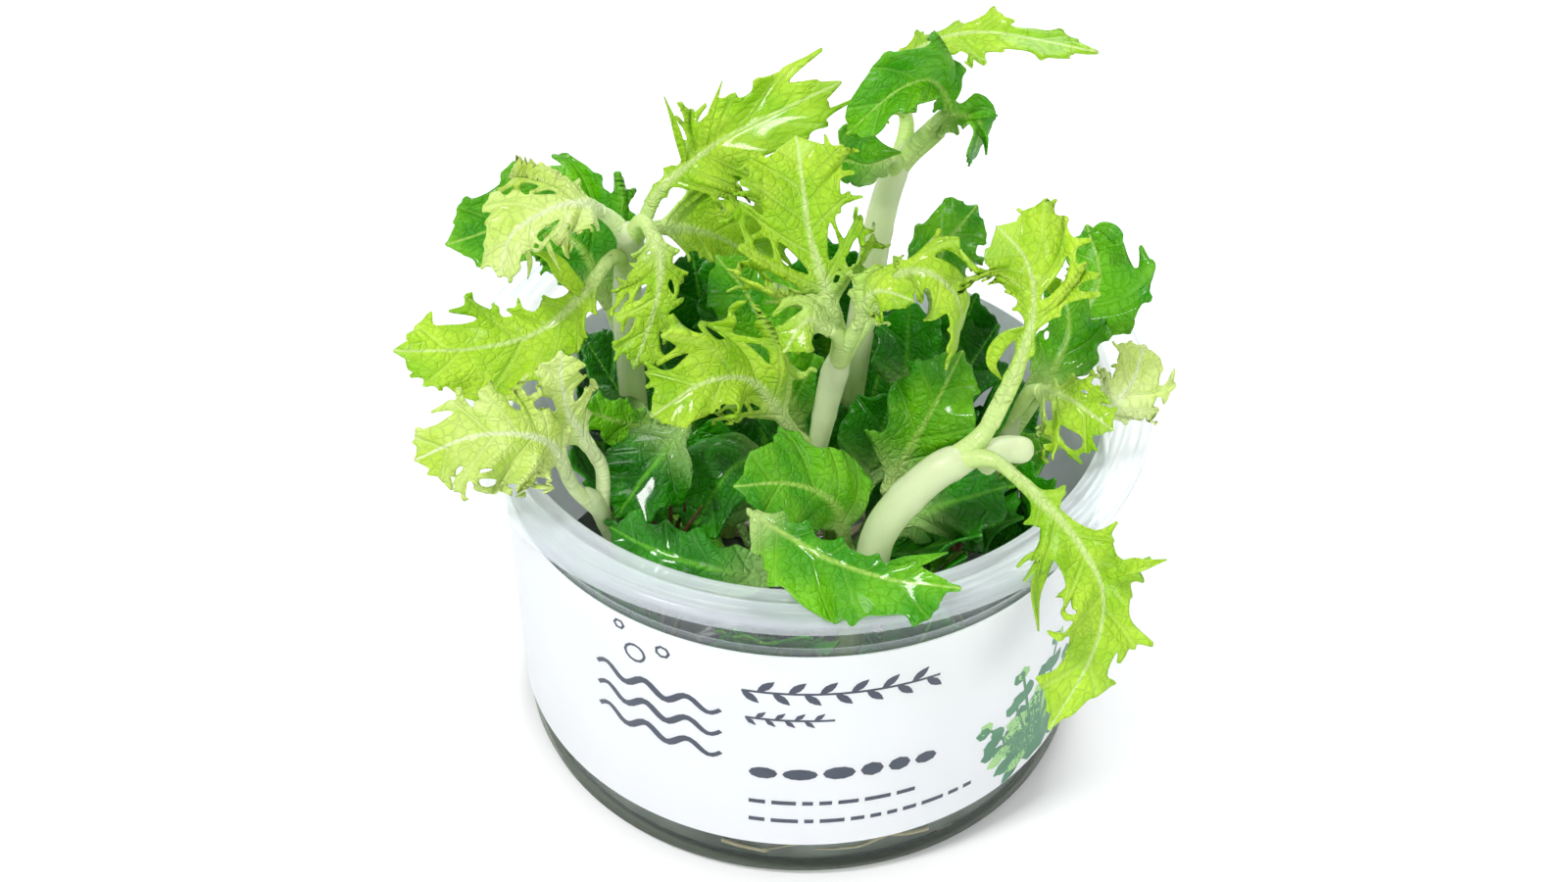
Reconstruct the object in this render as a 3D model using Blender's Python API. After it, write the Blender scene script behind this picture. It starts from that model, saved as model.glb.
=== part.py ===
# Water wisteria grown in a clear tissue-culture cup: cup, label, gel, stems and lobed leaves.
# Metres, +Z up. The origin is the centre of the cup's underside, and the front faces -Y.
import math

import bmesh
import bpy
from mathutils import Vector

MM = 0.001

# Cup, in millimetres
RIM_DIAMETER = 100.0
CUP_HEIGHT = 60.7
BASE_RADIUS = 42.6
WALL_TOP_RADIUS = 44.2
WALL = 1.0
FLOOR = 1.2
SHOULDER_HEIGHT = 50.6
SHOULDER_STEP = 0.6
FLANGE = 1.4
LIP = 2.6
SEGMENTS = 48

# Label, gel and the clearance that neighbours keep
LABEL_BOTTOM = 8.2
LABEL_TOP = 48.3
LABEL_THICKNESS = 0.3
LABEL_GAP_SEGMENTS = 2
GEL_TOP = 13.0
SOCKET_FLOOR = 6.0
CLEARANCE = 0.3

# Leaves and stems
LEAF_THICKNESS = 0.8
STALK_HALF_WIDTH = 0.9
INSIDE_OF_BEND = 0.7
STEM_RINGS = 8

# Where a blade faces, as a direction
UP = (0, 0, 1)
FRONT_UP = (0, -0.75, 0.66)
FRONT = (0, -0.95, 0.3)

COLOURS = {
    "clear_plastic": ((0.93, 0.96, 1.0), 0.08),
    "label_paper": ((0.92, 0.94, 0.96), 0.45),
    "culture_gel": ((0.20, 0.23, 0.18), 0.25),
    "pale_stem": ((0.78, 0.86, 0.50), 0.35),
    "young_leaf": ((0.55, 0.80, 0.04), 0.35),
    "mid_leaf": ((0.23, 0.55, 0.01), 0.30),
    "old_leaf": ((0.02, 0.18, 0.00), 0.25),
}


def clear_scene():
    for thing in list(bpy.data.objects):
        bpy.data.objects.remove(thing)


def make_material(owner, slot):
    colour, roughness = COLOURS[slot]
    material = bpy.data.materials.new(owner + "_" + slot)
    material.use_nodes = True
    shader = material.node_tree.nodes["Principled BSDF"]
    shader.inputs["Base Color"].default_value = (*colour, 1.0)
    shader.inputs["Roughness"].default_value = roughness
    shader.inputs["Metallic"].default_value = 0.0
    return material


def add_object(name, mesh, slot):
    thing = bpy.data.objects.new(name, mesh)
    thing.data.materials.append(make_material(name, slot))
    bpy.context.collection.objects.link(thing)
    return thing


def mesh_from_bmesh(name, bm):
    bmesh.ops.recalc_face_normals(bm, faces=bm.faces)
    mesh = bpy.data.meshes.new(name)
    bm.to_mesh(mesh)
    bm.free()
    return mesh


# Turned shapes: a closed profile of (radius, height) in millimetres, swept round Z
def turned(name, slot, profile, first=0, last=SEGMENTS):
    whole = last - first == SEGMENTS
    bm = bmesh.new()
    rings = []
    for k in range(first, last if whole else last + 1):
        angle = 2 * math.pi * k / SEGMENTS
        rings.append([bm.verts.new((r * MM * math.cos(angle), r * MM * math.sin(angle), z * MM))
                      for r, z in profile])
    pairs = list(zip(rings, rings[1:] + rings[:1])) if whole else list(zip(rings, rings[1:]))
    for ring, following in pairs:
        for i in range(len(profile)):
            j = (i + 1) % len(profile)
            if profile[i][0] > 0 or profile[j][0] > 0:
                bm.faces.new((ring[i], following[i], following[j], ring[j]))
    if not whole:
        bm.faces.new(rings[0])
        bm.faces.new(rings[-1])
    bmesh.ops.remove_doubles(bm, verts=bm.verts, dist=0.00001)
    mesh = mesh_from_bmesh(name, bm)
    mesh.shade_smooth()
    mesh.set_sharp_from_angle(angle=math.radians(30))
    return add_object(name, mesh, slot)


def wall_radius(z):
    return BASE_RADIUS + (WALL_TOP_RADIUS - BASE_RADIUS) * z / CUP_HEIGHT


def cup():
    rim = RIM_DIAMETER / 2
    top = CUP_HEIGHT
    shoulder = SHOULDER_HEIGHT
    outside = [
        (0, 0), (BASE_RADIUS - 2.2, 0), (BASE_RADIUS - 0.7, 0.7), (wall_radius(2.4), 2.4),
        (wall_radius(shoulder - 0.8), shoulder - 0.8),
        (wall_radius(shoulder) + SHOULDER_STEP, shoulder),
        (wall_radius(top) + SHOULDER_STEP, top - FLANGE - 0.6),
        (wall_radius(top) + SHOULDER_STEP + 0.8, top - FLANGE),
        (rim - 1.2, top - FLANGE), (rim - 0.4, top - LIP), (rim, top - LIP), (rim, top - 0.5),
        (rim - 0.6, top),
    ]
    inside = [
        (wall_radius(top) - 0.2, top), (wall_radius(top) - WALL, top - 0.8),
        (wall_radius(2.4) - WALL, 2.8), (BASE_RADIUS - 3.0, FLOOR), (0, FLOOR),
    ]
    turned("cup", "clear_plastic", outside + inside)


def label():
    inner_low = wall_radius(LABEL_BOTTOM) + CLEARANCE
    inner_high = wall_radius(LABEL_TOP) + CLEARANCE
    profile = [
        (inner_low, LABEL_BOTTOM), (inner_low + LABEL_THICKNESS, LABEL_BOTTOM),
        (inner_high + LABEL_THICKNESS, LABEL_TOP), (inner_high, LABEL_TOP),
    ]
    # The band is open over two segments at the back, which is a quarter of the way round from +X
    back = SEGMENTS // 4
    half_gap = LABEL_GAP_SEGMENTS // 2
    turned("label", "label_paper", profile, back + half_gap, back + SEGMENTS - half_gap)


def gel(stems):
    low = FLOOR + CLEARANCE
    side = 4.0
    profile = [
        (0, low), (BASE_RADIUS - 3.4, low),
        (wall_radius(side) - WALL - CLEARANCE - 0.1, side),
        (wall_radius(GEL_TOP) - WALL - CLEARANCE, GEL_TOP), (0, GEL_TOP),
    ]
    body = turned("nutrient_gel", "culture_gel", profile)
    for name, path, radii in stems:
        x, y, _ = path[0]
        depth = 2 * (GEL_TOP - SOCKET_FLOOR)
        bpy.ops.mesh.primitive_cylinder_add(
            vertices=10, radius=(radii[0] + 1.5 * CLEARANCE) * MM, depth=depth * MM,
            location=(x * MM, y * MM, (SOCKET_FLOOR - CLEARANCE + depth / 2) * MM))
        cutter = bpy.context.object
        cutter.name = "socket_cutter_" + name
        cutter.hide_render = True
        cutter.display_type = "WIRE"
        cut = body.modifiers.new("socket_" + name, "BOOLEAN")
        cut.operation = "DIFFERENCE"
        cut.solver = "EXACT"
        cut.object = cutter


# A smooth run through hand-placed points: Catmull-Rom, with s from 0 to 1
def along(path, s):
    points = [Vector(p) for p in path]
    points = [2 * points[0] - points[1]] + points + [2 * points[-1] - points[-2]]
    spans = len(points) - 3
    place = min(max(s, 0.0), 1.0) * spans
    k = min(int(place), spans - 1)
    t = place - k
    a, b, c, d = points[k:k + 4]
    return 0.5 * (2 * b + (c - a) * t + (2 * a - 5 * b + 4 * c - d) * t ** 2
                  + (3 * b - a - 3 * c + d) * t ** 3)


def heading(path, s):
    return (along(path, s + 0.02) - along(path, s - 0.02)).normalized()


def stem(name, path, radii):
    spline_data = bpy.data.curves.new(name, "CURVE")
    spline_data.dimensions = "3D"
    spline_data.bevel_depth = MM
    spline_data.bevel_resolution = 2
    spline_data.use_fill_caps = True
    run = spline_data.splines.new("POLY")
    run.points.add(STEM_RINGS + 1)
    # The foot stands upright in its socket, below the first point of the path
    run.points[0].co = (path[0][0] * MM, path[0][1] * MM, SOCKET_FLOOR * MM, 1.0)
    run.points[0].radius = radii[0]
    for i, point in enumerate(run.points[1:]):
        s = i / STEM_RINGS
        point.co = (*(along(path, s) * MM), 1.0)
        step = s * (len(radii) - 1)
        k = min(int(step), len(radii) - 2)
        point.radius = radii[k] + (radii[k + 1] - radii[k]) * (step - k)
    add_object(name, spline_data, "pale_stem")


# One lobed blade on its stalk: rows of three points, at each lobe's tip and each notch,
# given thickness by Solidify. half is the width left and right of the midrib, seen with the
# tip up from the side that the blade faces. A lobe's tip sweeps forward, and the blade is
# narrower on the inside of a tight bend.
def leaf(name, age, path, half, face=FRONT_UP, face_end=None, lobes=4, notch=0.45,
         fold=12, ruffle=0.12, widest=0.45, stalk=0.14, sweep=0.35):
    face_end = face_end or face
    fullness = math.log(0.5) / math.log(widest)
    length = sum((along(path, (i + 1) / 20) - along(path, i / 20)).length for i in range(20))
    spacing = (1 - stalk) / (lobes + 0.4)
    rows = [(0.0, None), (stalk * 0.7, None)]
    for k in range(lobes):
        rows.append((stalk + spacing * (k + 0.62), k))
        if k < lobes - 1:
            rows.append((stalk + spacing * (k + 1.0), -1))
    bm = bmesh.new()
    previous = None
    for s, lobe in rows:
        centre = along(path, s)
        ahead = heading(path, s)
        up = Vector(face).lerp(Vector(face_end), s)
        across = ahead.cross(up).normalized()
        up = across.cross(ahead)
        bend = (heading(path, s + 0.06) - heading(path, s - 0.06)).dot(across) / (0.12 * length)
        u = max(s - stalk, 0) / (1 - stalk)
        swell = math.sin(math.pi * u ** fullness) ** 0.6
        row = []
        for side in (-1, 0, 1):
            width = half[0] if side < 0 else half[1]
            reach = STALK_HALF_WIDTH
            lift = 0.0
            forward = 0.0
            if lobe is not None:
                reach = max(width * swell * (1.0 if lobe >= 0 else 1 - notch), STALK_HALF_WIDTH)
            if bend * side > 0:
                reach = min(reach, INSIDE_OF_BEND / (bend * side))
            if lobe is not None and lobe >= 0:
                lift = ruffle * reach * (1 if lobe % 2 else -1) * side
                forward = min(sweep * reach, 0.25 * spacing * length)
            reach = reach * abs(side)
            rise = reach * math.sin(math.radians(fold)) + lift
            run = reach * math.cos(math.radians(fold)) * side
            place = centre + across * run + up * rise + ahead * forward * abs(side)
            row.append(bm.verts.new(place * MM))
        if previous:
            bm.faces.new((previous[0], previous[1], row[1], row[0]))
            bm.faces.new((previous[1], previous[2], row[2], row[1]))
        previous = row
    tip = bm.verts.new(along(path, 1.0) * MM)
    bm.faces.new((previous[0], previous[1], tip))
    bm.faces.new((previous[1], previous[2], tip))
    mesh = bpy.data.meshes.new(name)
    bm.to_mesh(mesh)
    bm.free()
    thing = add_object(name, mesh, age)
    thick = thing.modifiers.new("thickness", "SOLIDIFY")
    thick.thickness = LEAF_THICKNESS * MM
    thick.offset = 0.0


# Stems: name, path up from the gel's surface, radii along it, all in millimetres
STEMS = [
    ("stem_tall", [(5, 9, 14), (6, 11, 40), (9, 14, 68), (11, 15, 82), (14, 16, 91)], (2.0, 2.2, 1.9)),
    ("stem_left", [(-22, 4, 14), (-25, 6, 40), (-26, 6, 67), (-25, 5, 80), (-26, 4, 84)],
     (1.9, 2.1, 1.8)),
    ("stem_centre", [(0, -5, 14), (1, -8, 45), (3, -8, 62), (5, -9, 74)], (1.8, 2.0, 2.8)),
    ("stem_right", [(5, -20, 14), (9, -27, 44), (11, -27.5, 57), (18, -26, 66), (24, -25, 68)],
     (2.2, 2.5, 2.4)),
    ("stem_far_left", [(-22, -13, 14), (-25, -18, 38), (-28, -22, 53), (-30, -23, 59)], (1.3, 1.4, 1.2)),
    ("stem_right_back", [(22, 2, 14), (27, -1, 42), (31, -6, 59)], (1.6, 1.6, 1.3)),
    ("stem_back_left", [(-12, 18, 14), (-12, 20, 25), (-13, 21, 34)], (1.5, 1.5)),
    ("stem_back_right", [(12, 21, 14), (12, 22, 25), (13, 23, 34)], (1.5, 1.5)),
]


def tall_stem_leaves():
    leaf("leaf_tall_top", "young_leaf", [(13, 19, 94), (11, 18, 99), (15, 16, 106), (23, 13, 111),
         (37, 8, 111.5)], (2.8, 6.0), (-0.8, 0.2, 0.5), (0, 0.2, 0.98), lobes=6, widest=0.35)
    leaf("leaf_tall_curled", "old_leaf", [(17, 14, 95), (18.5, 11, 100), (16, 8, 106), (11, 5, 106),
         (5, 4, 100)], (4.5, 5.0), lobes=4, notch=0.3)
    leaf("leaf_tall_right", "mid_leaf", [(18, 15, 93), (20, 13, 97), (23, 10, 98), (22, 9, 92)],
         (2.6, 2.6), (-0.8, -0.4, 0.5), (0.9, -0.4, 0.0), lobes=3)
    leaf("leaf_tall_left", "mid_leaf", [(11, 13, 90), (8, 10, 91), (3, 8, 93)], (2.8, 2.4), lobes=3)


def left_stem_leaves():
    leaf("leaf_left_up", "young_leaf", [(-23, 7, 83), (-21, 8, 87), (-16, 10, 91), (-11, 12, 94),
         (4, 15, 101)], (5.0, 8.0), lobes=6, notch=0.5, stalk=0.16, widest=0.6)
    leaf("leaf_left_arch", "young_leaf", [(-29, 3, 87), (-31, 1, 89.5), (-35, -1, 90), (-40, -4, 88),
         (-42, -7, 83)], (6.0, 6.5), (0, -0.5, 0.85), (-0.5, -0.6, 0.5), lobes=5, notch=0.5)
    leaf("leaf_left_behind", "mid_leaf", [(-29, 10, 65), (-33, 14, 72), (-40, 15, 76), (-52, 12, 74)],
         (9.0, 10.0), (0.3, -0.7, 0.5), (-0.1, -0.6, 0.8), lobes=5, notch=0.35, widest=0.4)
    leaf("leaf_left_long", "young_leaf", [(-28, 2, 79), (-32, 0, 74), (-38, -3, 70), (-47, -7, 70),
         (-57, -10, 72)], (9.5, 6.0), (0, -0.6, 0.8), lobes=6, notch=0.42, widest=0.58)
    leaf("leaf_left_front", "young_leaf", [(-22, 0.5, 86), (-20.5, -2.5, 84.5), (-20.5, -5, 80),
         (-22, -7, 74.5), (-24, -9, 69)], (3.8, 6.0), (0.2, -0.4, 1), (0.2, -0.9, 0.2), lobes=5,
         notch=0.5, fold=8, ruffle=0.08)
    leaf("leaf_left_inner", "young_leaf", [(-23, 9, 80), (-17, 14, 76), (-11, 16, 72), (-5, 15, 66)],
         (6.0, 6.0), lobes=4)
    leaf("leaf_left_strip", "old_leaf", [(-19, -4, 53), (-26, -8, 58), (-32, -12, 64)], (2.4, 2.8),
         lobes=3, notch=0.25)
    leaf("leaf_left_round", "old_leaf", [(-22, -1, 52), (-27, 0, 53), (-33, 1, 54)], (3.4, 3.4),
         UP, lobes=2, notch=0.1)


def far_left_stem_leaves():
    leaf("leaf_far_left_low", "young_leaf", [(-32, -24, 61), (-34, -25, 68), (-38, -27, 72),
         (-45, -28, 72), (-52, -28, 68)], (7.5, 5.5), (0.3, -0.6, 0.7), lobes=5, notch=0.45)
    leaf("leaf_far_left_up", "young_leaf", [(-28.5, -19.5, 61), (-32, -19, 68), (-33, -19, 74),
         (-33, -18, 79)], (4.0, 4.0), (0.3, -0.6, 0.6), lobes=4, notch=0.5)


def centre_stem_leaves():
    leaf("leaf_centre_tall", "young_leaf", [(4, -7, 77), (2, -6, 83), (0, -3, 89), (-1, 0, 95),
         (-2, 3, 100)], (10.5, 8.5), lobes=5, notch=0.5, widest=0.4)
    leaf("leaf_centre_low", "young_leaf", [(3, -12, 79), (0, -14, 82), (-3, -17, 79)], (3.0, 3.2),
         lobes=3)
    leaf("leaf_centre_right", "young_leaf", [(9, -8, 79), (12, -8, 85), (17, -9.5, 86.5),
         (20.5, -12, 82.5), (19, -15, 75)], (5.5, 5.5), (-0.9, -0.1, 0.5), (0.9, -0.2, 0.0),
         lobes=4, notch=0.35, fold=6, ruffle=0.06)
    leaf("leaf_centre_frilly", "young_leaf", [(7, -12, 80), (9, -14, 87), (14, -17, 88)], (4.0, 4.0),
         (-0.5, -0.6, 0.6), (0.2, -0.5, 0.85), lobes=4, notch=0.5, ruffle=0.2)
    leaf("leaf_centre_dark", "old_leaf", [(0, -2, 48), (-3, 1, 59), (-8, 5, 70), (-13, 9, 75)],
         (6.5, 6.5), lobes=3, notch=0.12)
    leaf("leaf_inner_ruffled", "mid_leaf", [(-2, -10, 59), (-7, -12, 69), (-13, -15, 72),
         (-21, -18, 68)], (7.0, 7.5), lobes=4, ruffle=0.25)
    leaf("leaf_inner_front", "old_leaf", [(-4, -9, 52), (-10, -13, 54), (-16, -20, 47)], (6.0, 6.0),
         (0, -0.2, 1), (-0.5, -0.7, 0.5), lobes=3, notch=0.15)
    leaf("leaf_inner_left", "old_leaf", [(-17, -12, 60), (-21, -17, 58), (-26, -22, 53)], (6.0, 6.0),
         lobes=3, notch=0.15)
    leaf("leaf_inner_right", "old_leaf", [(12, -11, 49), (17, -8, 59), (22, -3, 68)], (6.5, 6.5),
         lobes=3, notch=0.15)
    leaf("leaf_inner_round", "old_leaf", [(9, -5, 43), (11, -2, 51), (13, 0, 58)], (5.6, 5.6),
         lobes=2, notch=0.1)
    leaf("leaf_inner_glossy", "old_leaf", [(15, 8, 49), (15, 11, 56), (15, 14, 64)], (4.6, 4.6),
         lobes=2, notch=0.1)
    leaf("leaf_inner_low_left", "old_leaf", [(-6, -2, 36), (-13, -5, 45), (-20, -8, 47)], (7.0, 7.0),
         lobes=3, notch=0.15)
    leaf("leaf_inner_low_right", "old_leaf", [(14, -9, 38), (20, -13, 46), (27, -16, 47)], (5.0, 5.0),
         (-0.5, -0.5, 0.7), (0, -0.4, 0.9), lobes=3, notch=0.15)
    leaf("leaf_inner_low_back", "old_leaf", [(1, 3, 34), (0, 8, 44), (-1, 14, 52)], (6.5, 6.5),
         lobes=3, notch=0.15)
    leaf("leaf_inner_back", "old_leaf", [(-6, 15, 46), (-9, 20, 56), (-11, 24, 66)], (7.0, 7.0),
         lobes=3, notch=0.15)


def right_stem_leaves():
    leaf("leaf_right_up", "young_leaf", [(25, -22.5, 72), (28, -20, 79), (30, -16, 86), (29, -12, 91),
         (25, -9, 94.5)], (8.5, 8.8), lobes=6, notch=0.55, widest=0.64, stalk=0.16)
    leaf("leaf_right_hanging", "young_leaf", [(26.5, -28, 69), (31, -34, 68.5), (36, -41, 67),
         (39, -46, 63), (38, -50, 56), (33, -54, 46)], (5.0, 8.0), (0.4, -0.5, 0.8),
         (0.2, -0.95, 0.3), lobes=5, notch=0.45)
    leaf("leaf_right_stub", "pale_stem", [(27.5, -22.5, 67), (29.5, -22, 66), (31.5, -22, 65)], (2.2, 2.2),
         UP, lobes=1)
    leaf("leaf_front_broad", "mid_leaf", [(6, -22.5, 49), (4, -26, 60), (-2, -29, 66), (-9, -32, 68)],
         (7.5, 6.8), lobes=4, notch=0.15)
    leaf("leaf_front_overhang", "mid_leaf", [(-7, -37, 68), (-2, -41, 67.5), (4, -45, 67),
         (11, -48, 67), (20, -50.5, 68)], (2.4, 8.0), (0, -0.5, 0.85), lobes=5, notch=0.35)
    leaf("leaf_front_wall", "old_leaf", [(-3, -32, 51), (-13, -34, 55), (-20, -32, 56), (-26, -28, 56)],
         (4.0, 4.0), lobes=4, notch=0.2)
    leaf("leaf_under_right", "old_leaf", [(14, -20, 51), (21, -20, 55), (28, -19, 57)], (5.5, 5.5),
         lobes=3, notch=0.2)


def right_back_stem_leaves():
    leaf("leaf_right_dark", "old_leaf", [(34, 1, 62), (39, 6, 67), (42, 10, 72), (40, 14, 78)],
         (6.0, 6.0), lobes=4, notch=0.25, ruffle=0.05)
    leaf("leaf_right_wavy", "mid_leaf", [(33, -5, 62), (35, -4, 66), (37, -1, 71), (36, 2, 76)],
         (4.2, 4.2), lobes=4, ruffle=0.2)
    leaf("leaf_right_far", "young_leaf", [(40, -14, 65), (43.5, -11, 66.5), (46, -7.5, 68), (47.5, -3, 70)],
         (5.2, 5.2), lobes=4, notch=0.4)
    leaf("leaf_right_low", "young_leaf", [(33, -8, 65.5), (36.5, -14, 69), (42, -19, 68)], (3.5, 7.5),
         lobes=4, notch=0.4)
    leaf("leaf_right_back", "old_leaf", [(19, 18, 58), (20, 23, 66), (25, 28, 71)], (6.5, 6.5),
         lobes=3, notch=0.3)


def wall_leaves():
    leaf("leaf_back_left", "old_leaf", [(-13, 24, 36), (-16, 30, 46), (-18, 33, 58)], (7.5, 7.5),
         FRONT, lobes=3, notch=0.2)
    leaf("leaf_back", "old_leaf", [(9, 26, 34), (4, 31, 45), (2, 35, 60)], (8.0, 8.0),
         FRONT, lobes=3, notch=0.2)
    leaf("leaf_back_right", "old_leaf", [(16, 24, 32), (22, 26, 42), (26, 28, 54)], (6.5, 6.5),
         FRONT, lobes=3, notch=0.2)
    leaf("leaf_wall_left", "old_leaf", [(-26, 10, 26), (-32, 14, 40), (-34, 16, 55)], (7.5, 7.5),
         (0.9, -0.3, 0.3), lobes=3, notch=0.2)
    leaf("leaf_wall_front_left", "old_leaf", [(-20, -18, 22), (-27, -22, 32), (-31, -22, 45)],
         (6.5, 6.5), FRONT, lobes=3, notch=0.2)
    leaf("leaf_wall_right", "old_leaf", [(26, -4, 24), (33, -9, 36), (36, -11, 51)], (7.5, 7.5),
         (-0.8, -0.4, 0.3), lobes=3, notch=0.2)
    leaf("leaf_wall_front_right", "old_leaf", [(9, -24, 22), (15, -31, 34), (19, -33, 48)], (7.0, 7.0),
         FRONT, lobes=3, notch=0.2)
    leaf("leaf_wall_front", "old_leaf", [(-2, -24, 20), (-7, -31, 32), (-9, -35, 44)], (7.0, 7.0),
         FRONT, lobes=3, notch=0.2)


def build():
    clear_scene()
    cup()
    label()
    gel(STEMS)
    for name, path, radii in STEMS:
        stem(name, path, radii)
    tall_stem_leaves()
    left_stem_leaves()
    far_left_stem_leaves()
    centre_stem_leaves()
    right_stem_leaves()
    right_back_stem_leaves()
    wall_leaves()


build()
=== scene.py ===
# Water wisteria in a clear tissue-culture cup: the looks, dressed over the CAD frame.
# Metres, +Z up, the cup's front faces -Y. Sizes in the tables are millimetres.
import math
import random
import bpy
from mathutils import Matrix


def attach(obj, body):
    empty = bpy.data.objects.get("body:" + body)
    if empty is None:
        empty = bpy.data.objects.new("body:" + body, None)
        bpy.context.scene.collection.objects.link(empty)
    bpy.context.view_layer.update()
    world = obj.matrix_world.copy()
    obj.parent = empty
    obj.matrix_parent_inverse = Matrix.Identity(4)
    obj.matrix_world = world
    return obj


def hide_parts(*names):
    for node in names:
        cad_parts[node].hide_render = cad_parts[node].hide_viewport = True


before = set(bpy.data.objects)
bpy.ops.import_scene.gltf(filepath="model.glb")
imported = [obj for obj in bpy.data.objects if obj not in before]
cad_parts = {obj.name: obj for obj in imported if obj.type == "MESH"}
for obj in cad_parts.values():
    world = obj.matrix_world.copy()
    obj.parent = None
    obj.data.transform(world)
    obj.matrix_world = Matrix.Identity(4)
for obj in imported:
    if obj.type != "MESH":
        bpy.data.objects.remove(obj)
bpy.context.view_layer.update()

import zlib

import bpy
import numpy as np
from mathutils import Matrix, Vector

MM = 0.001

# Cup and what it holds, as in the CAD
RIM_RADIUS = 50.0
CUP_HEIGHT = 60.7
BASE_RADIUS = 42.6
WALL_TOP_RADIUS = 44.2
WALL = 1.0
FLOOR = 1.2
LABEL_BOTTOM = 8.2
LABEL_TOP = 48.3
LABEL_GAP_DEGREES = 7.5
GEL_TOP = 13.0
CLEARANCE = 0.3
ROUND = 144

# Leaves
CELL = 0.42
FULLER = 1.1
BLADE_THICKNESS = 0.32
STATIONS = 96

UP = (0, 0, 1)
FRONT_UP = (0, -0.75, 0.66)
FRONT = (0, -0.95, 0.3)


# Helpers
def srgb(code):
    parts = [int(code[i:i + 2], 16) / 255 for i in (1, 3, 5)]
    return tuple(c / 12.92 if c <= 0.04045 else ((c + 0.055) / 1.055) ** 2.4 for c in parts) + (1.0,)


def add(tree, kind, inputs=None, **settings):
    made = tree.nodes.new(kind)
    for key, value in settings.items():
        setattr(made, key, value)
    for key, value in (inputs or {}).items():
        if isinstance(value, bpy.types.NodeSocket):
            tree.links.new(value, made.inputs[key])
        else:
            made.inputs[key].default_value = value
    return made


def new_material(name):
    material = bpy.data.materials.new(name)
    material.use_nodes = True
    shader = material.node_tree.nodes["Principled BSDF"]
    return material, material.node_tree, shader


def clear_selection():
    if bpy.context.object and bpy.context.object.mode != "OBJECT":
        bpy.ops.object.mode_set(mode="OBJECT")
    bpy.ops.object.select_all(action="DESELECT")


def pick(piece):
    clear_selection()
    piece.select_set(True)
    bpy.context.view_layer.objects.active = piece


def keep(piece, name, material, slot, *nodes):
    """Names and dresses a finished piece, and puts it on the frame."""
    piece.name = name
    piece.data.name = name
    piece.data.materials.clear()
    piece.data.materials.append(material)
    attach(piece, "root")
    if nodes:
        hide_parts(*nodes)
    return piece


def wall_radius(z):
    return BASE_RADIUS + (WALL_TOP_RADIUS - BASE_RADIUS) * z / CUP_HEIGHT


# Materials
def clear_plastic():
    # Injection-moulded natural polypropylene, 1 mm thick: what stands behind it shows unbent but
    # dulled, it whitens where the eye looks along it, and its thick ridged rim is frosted
    material, tree, shader = new_material("milky_clear_polypropylene")
    shader.inputs["Base Color"].default_value = srgb("#E6EDF3")
    shader.inputs["IOR"].default_value = 1.49
    where = add(tree, "ShaderNodeTexCoord")
    haze = add(tree, "ShaderNodeTexNoise", {"Vector": where.outputs["Object"], "Scale": 90.0, "Detail": 3.0})
    rough = add(tree, "ShaderNodeMapRange", {"Value": haze.outputs["Fac"], "To Min": 0.06, "To Max": 0.22})
    tree.links.new(rough.outputs["Result"], shader.inputs["Roughness"])
    # The faint waviness of a thin moulded wall, about 8 mm across
    wave = add(tree, "ShaderNodeTexNoise", {"Vector": where.outputs["Object"], "Scale": 120.0, "Detail": 1.0})
    bump = add(tree, "ShaderNodeBump", {"Height": wave.outputs["Fac"], "Strength": 0.1, "Distance": 0.0006})
    tree.links.new(bump.outputs["Normal"], shader.inputs["Normal"])

    place = add(tree, "ShaderNodeSeparateXYZ", {"Vector": where.outputs["Object"]})
    # Clear where the gel wets the wall, a little hazy above it, frosted on the rim
    frost = add(tree, "ShaderNodeMapRange", {"Value": place.outputs["Z"], "From Min": 0.0575,
                                             "From Max": 0.0600, "To Min": 0.05, "To Max": 0.36})
    wet = add(tree, "ShaderNodeMapRange", {"Value": place.outputs["Z"], "From Min": 0.0120,
                                           "From Max": 0.0135, "To Min": 0.2, "To Max": 1.0})
    glance = add(tree, "ShaderNodeLayerWeight", {"Blend": 0.5})
    along = add(tree, "ShaderNodeMapRange", {"Value": glance.outputs["Facing"], "From Min": 0.4,
                                             "From Max": 1.0, "To Min": 0.0, "To Max": 0.4})
    both_hazes = add(tree, "ShaderNodeMath", {0: frost.outputs["Result"], 1: along.outputs["Result"]},
                     operation="ADD", use_clamp=True)
    cover = add(tree, "ShaderNodeMath", {0: both_hazes.outputs[0], 1: wet.outputs["Result"]},
                operation="MULTIPLY")
    # Painted refraction: the see-through colour of the foot, from 1.2 to 3.6 mm up, is tinted dark grey-olive,
    # standing in for the dark gel that the thick foot bends into view
    foot = add(tree, "ShaderNodeMapRange", {"Value": place.outputs["Z"], "From Min": 0.0012,
                                            "From Max": 0.0036})
    tint = add(tree, "ShaderNodeMix", {"Factor": foot.outputs["Result"], "A": srgb("#A9AFA3"),
                                       "B": srgb("#FDFEFE")}, data_type="RGBA")
    clear = add(tree, "ShaderNodeBsdfTransparent", {"Color": tint.outputs["Result"]})
    both = add(tree, "ShaderNodeMixShader", {0: cover.outputs[0], 1: clear.outputs[0], 2: shader.outputs[0]})
    tree.links.new(both.outputs[0], tree.nodes["Material Output"].inputs["Surface"])
    return material


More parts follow.
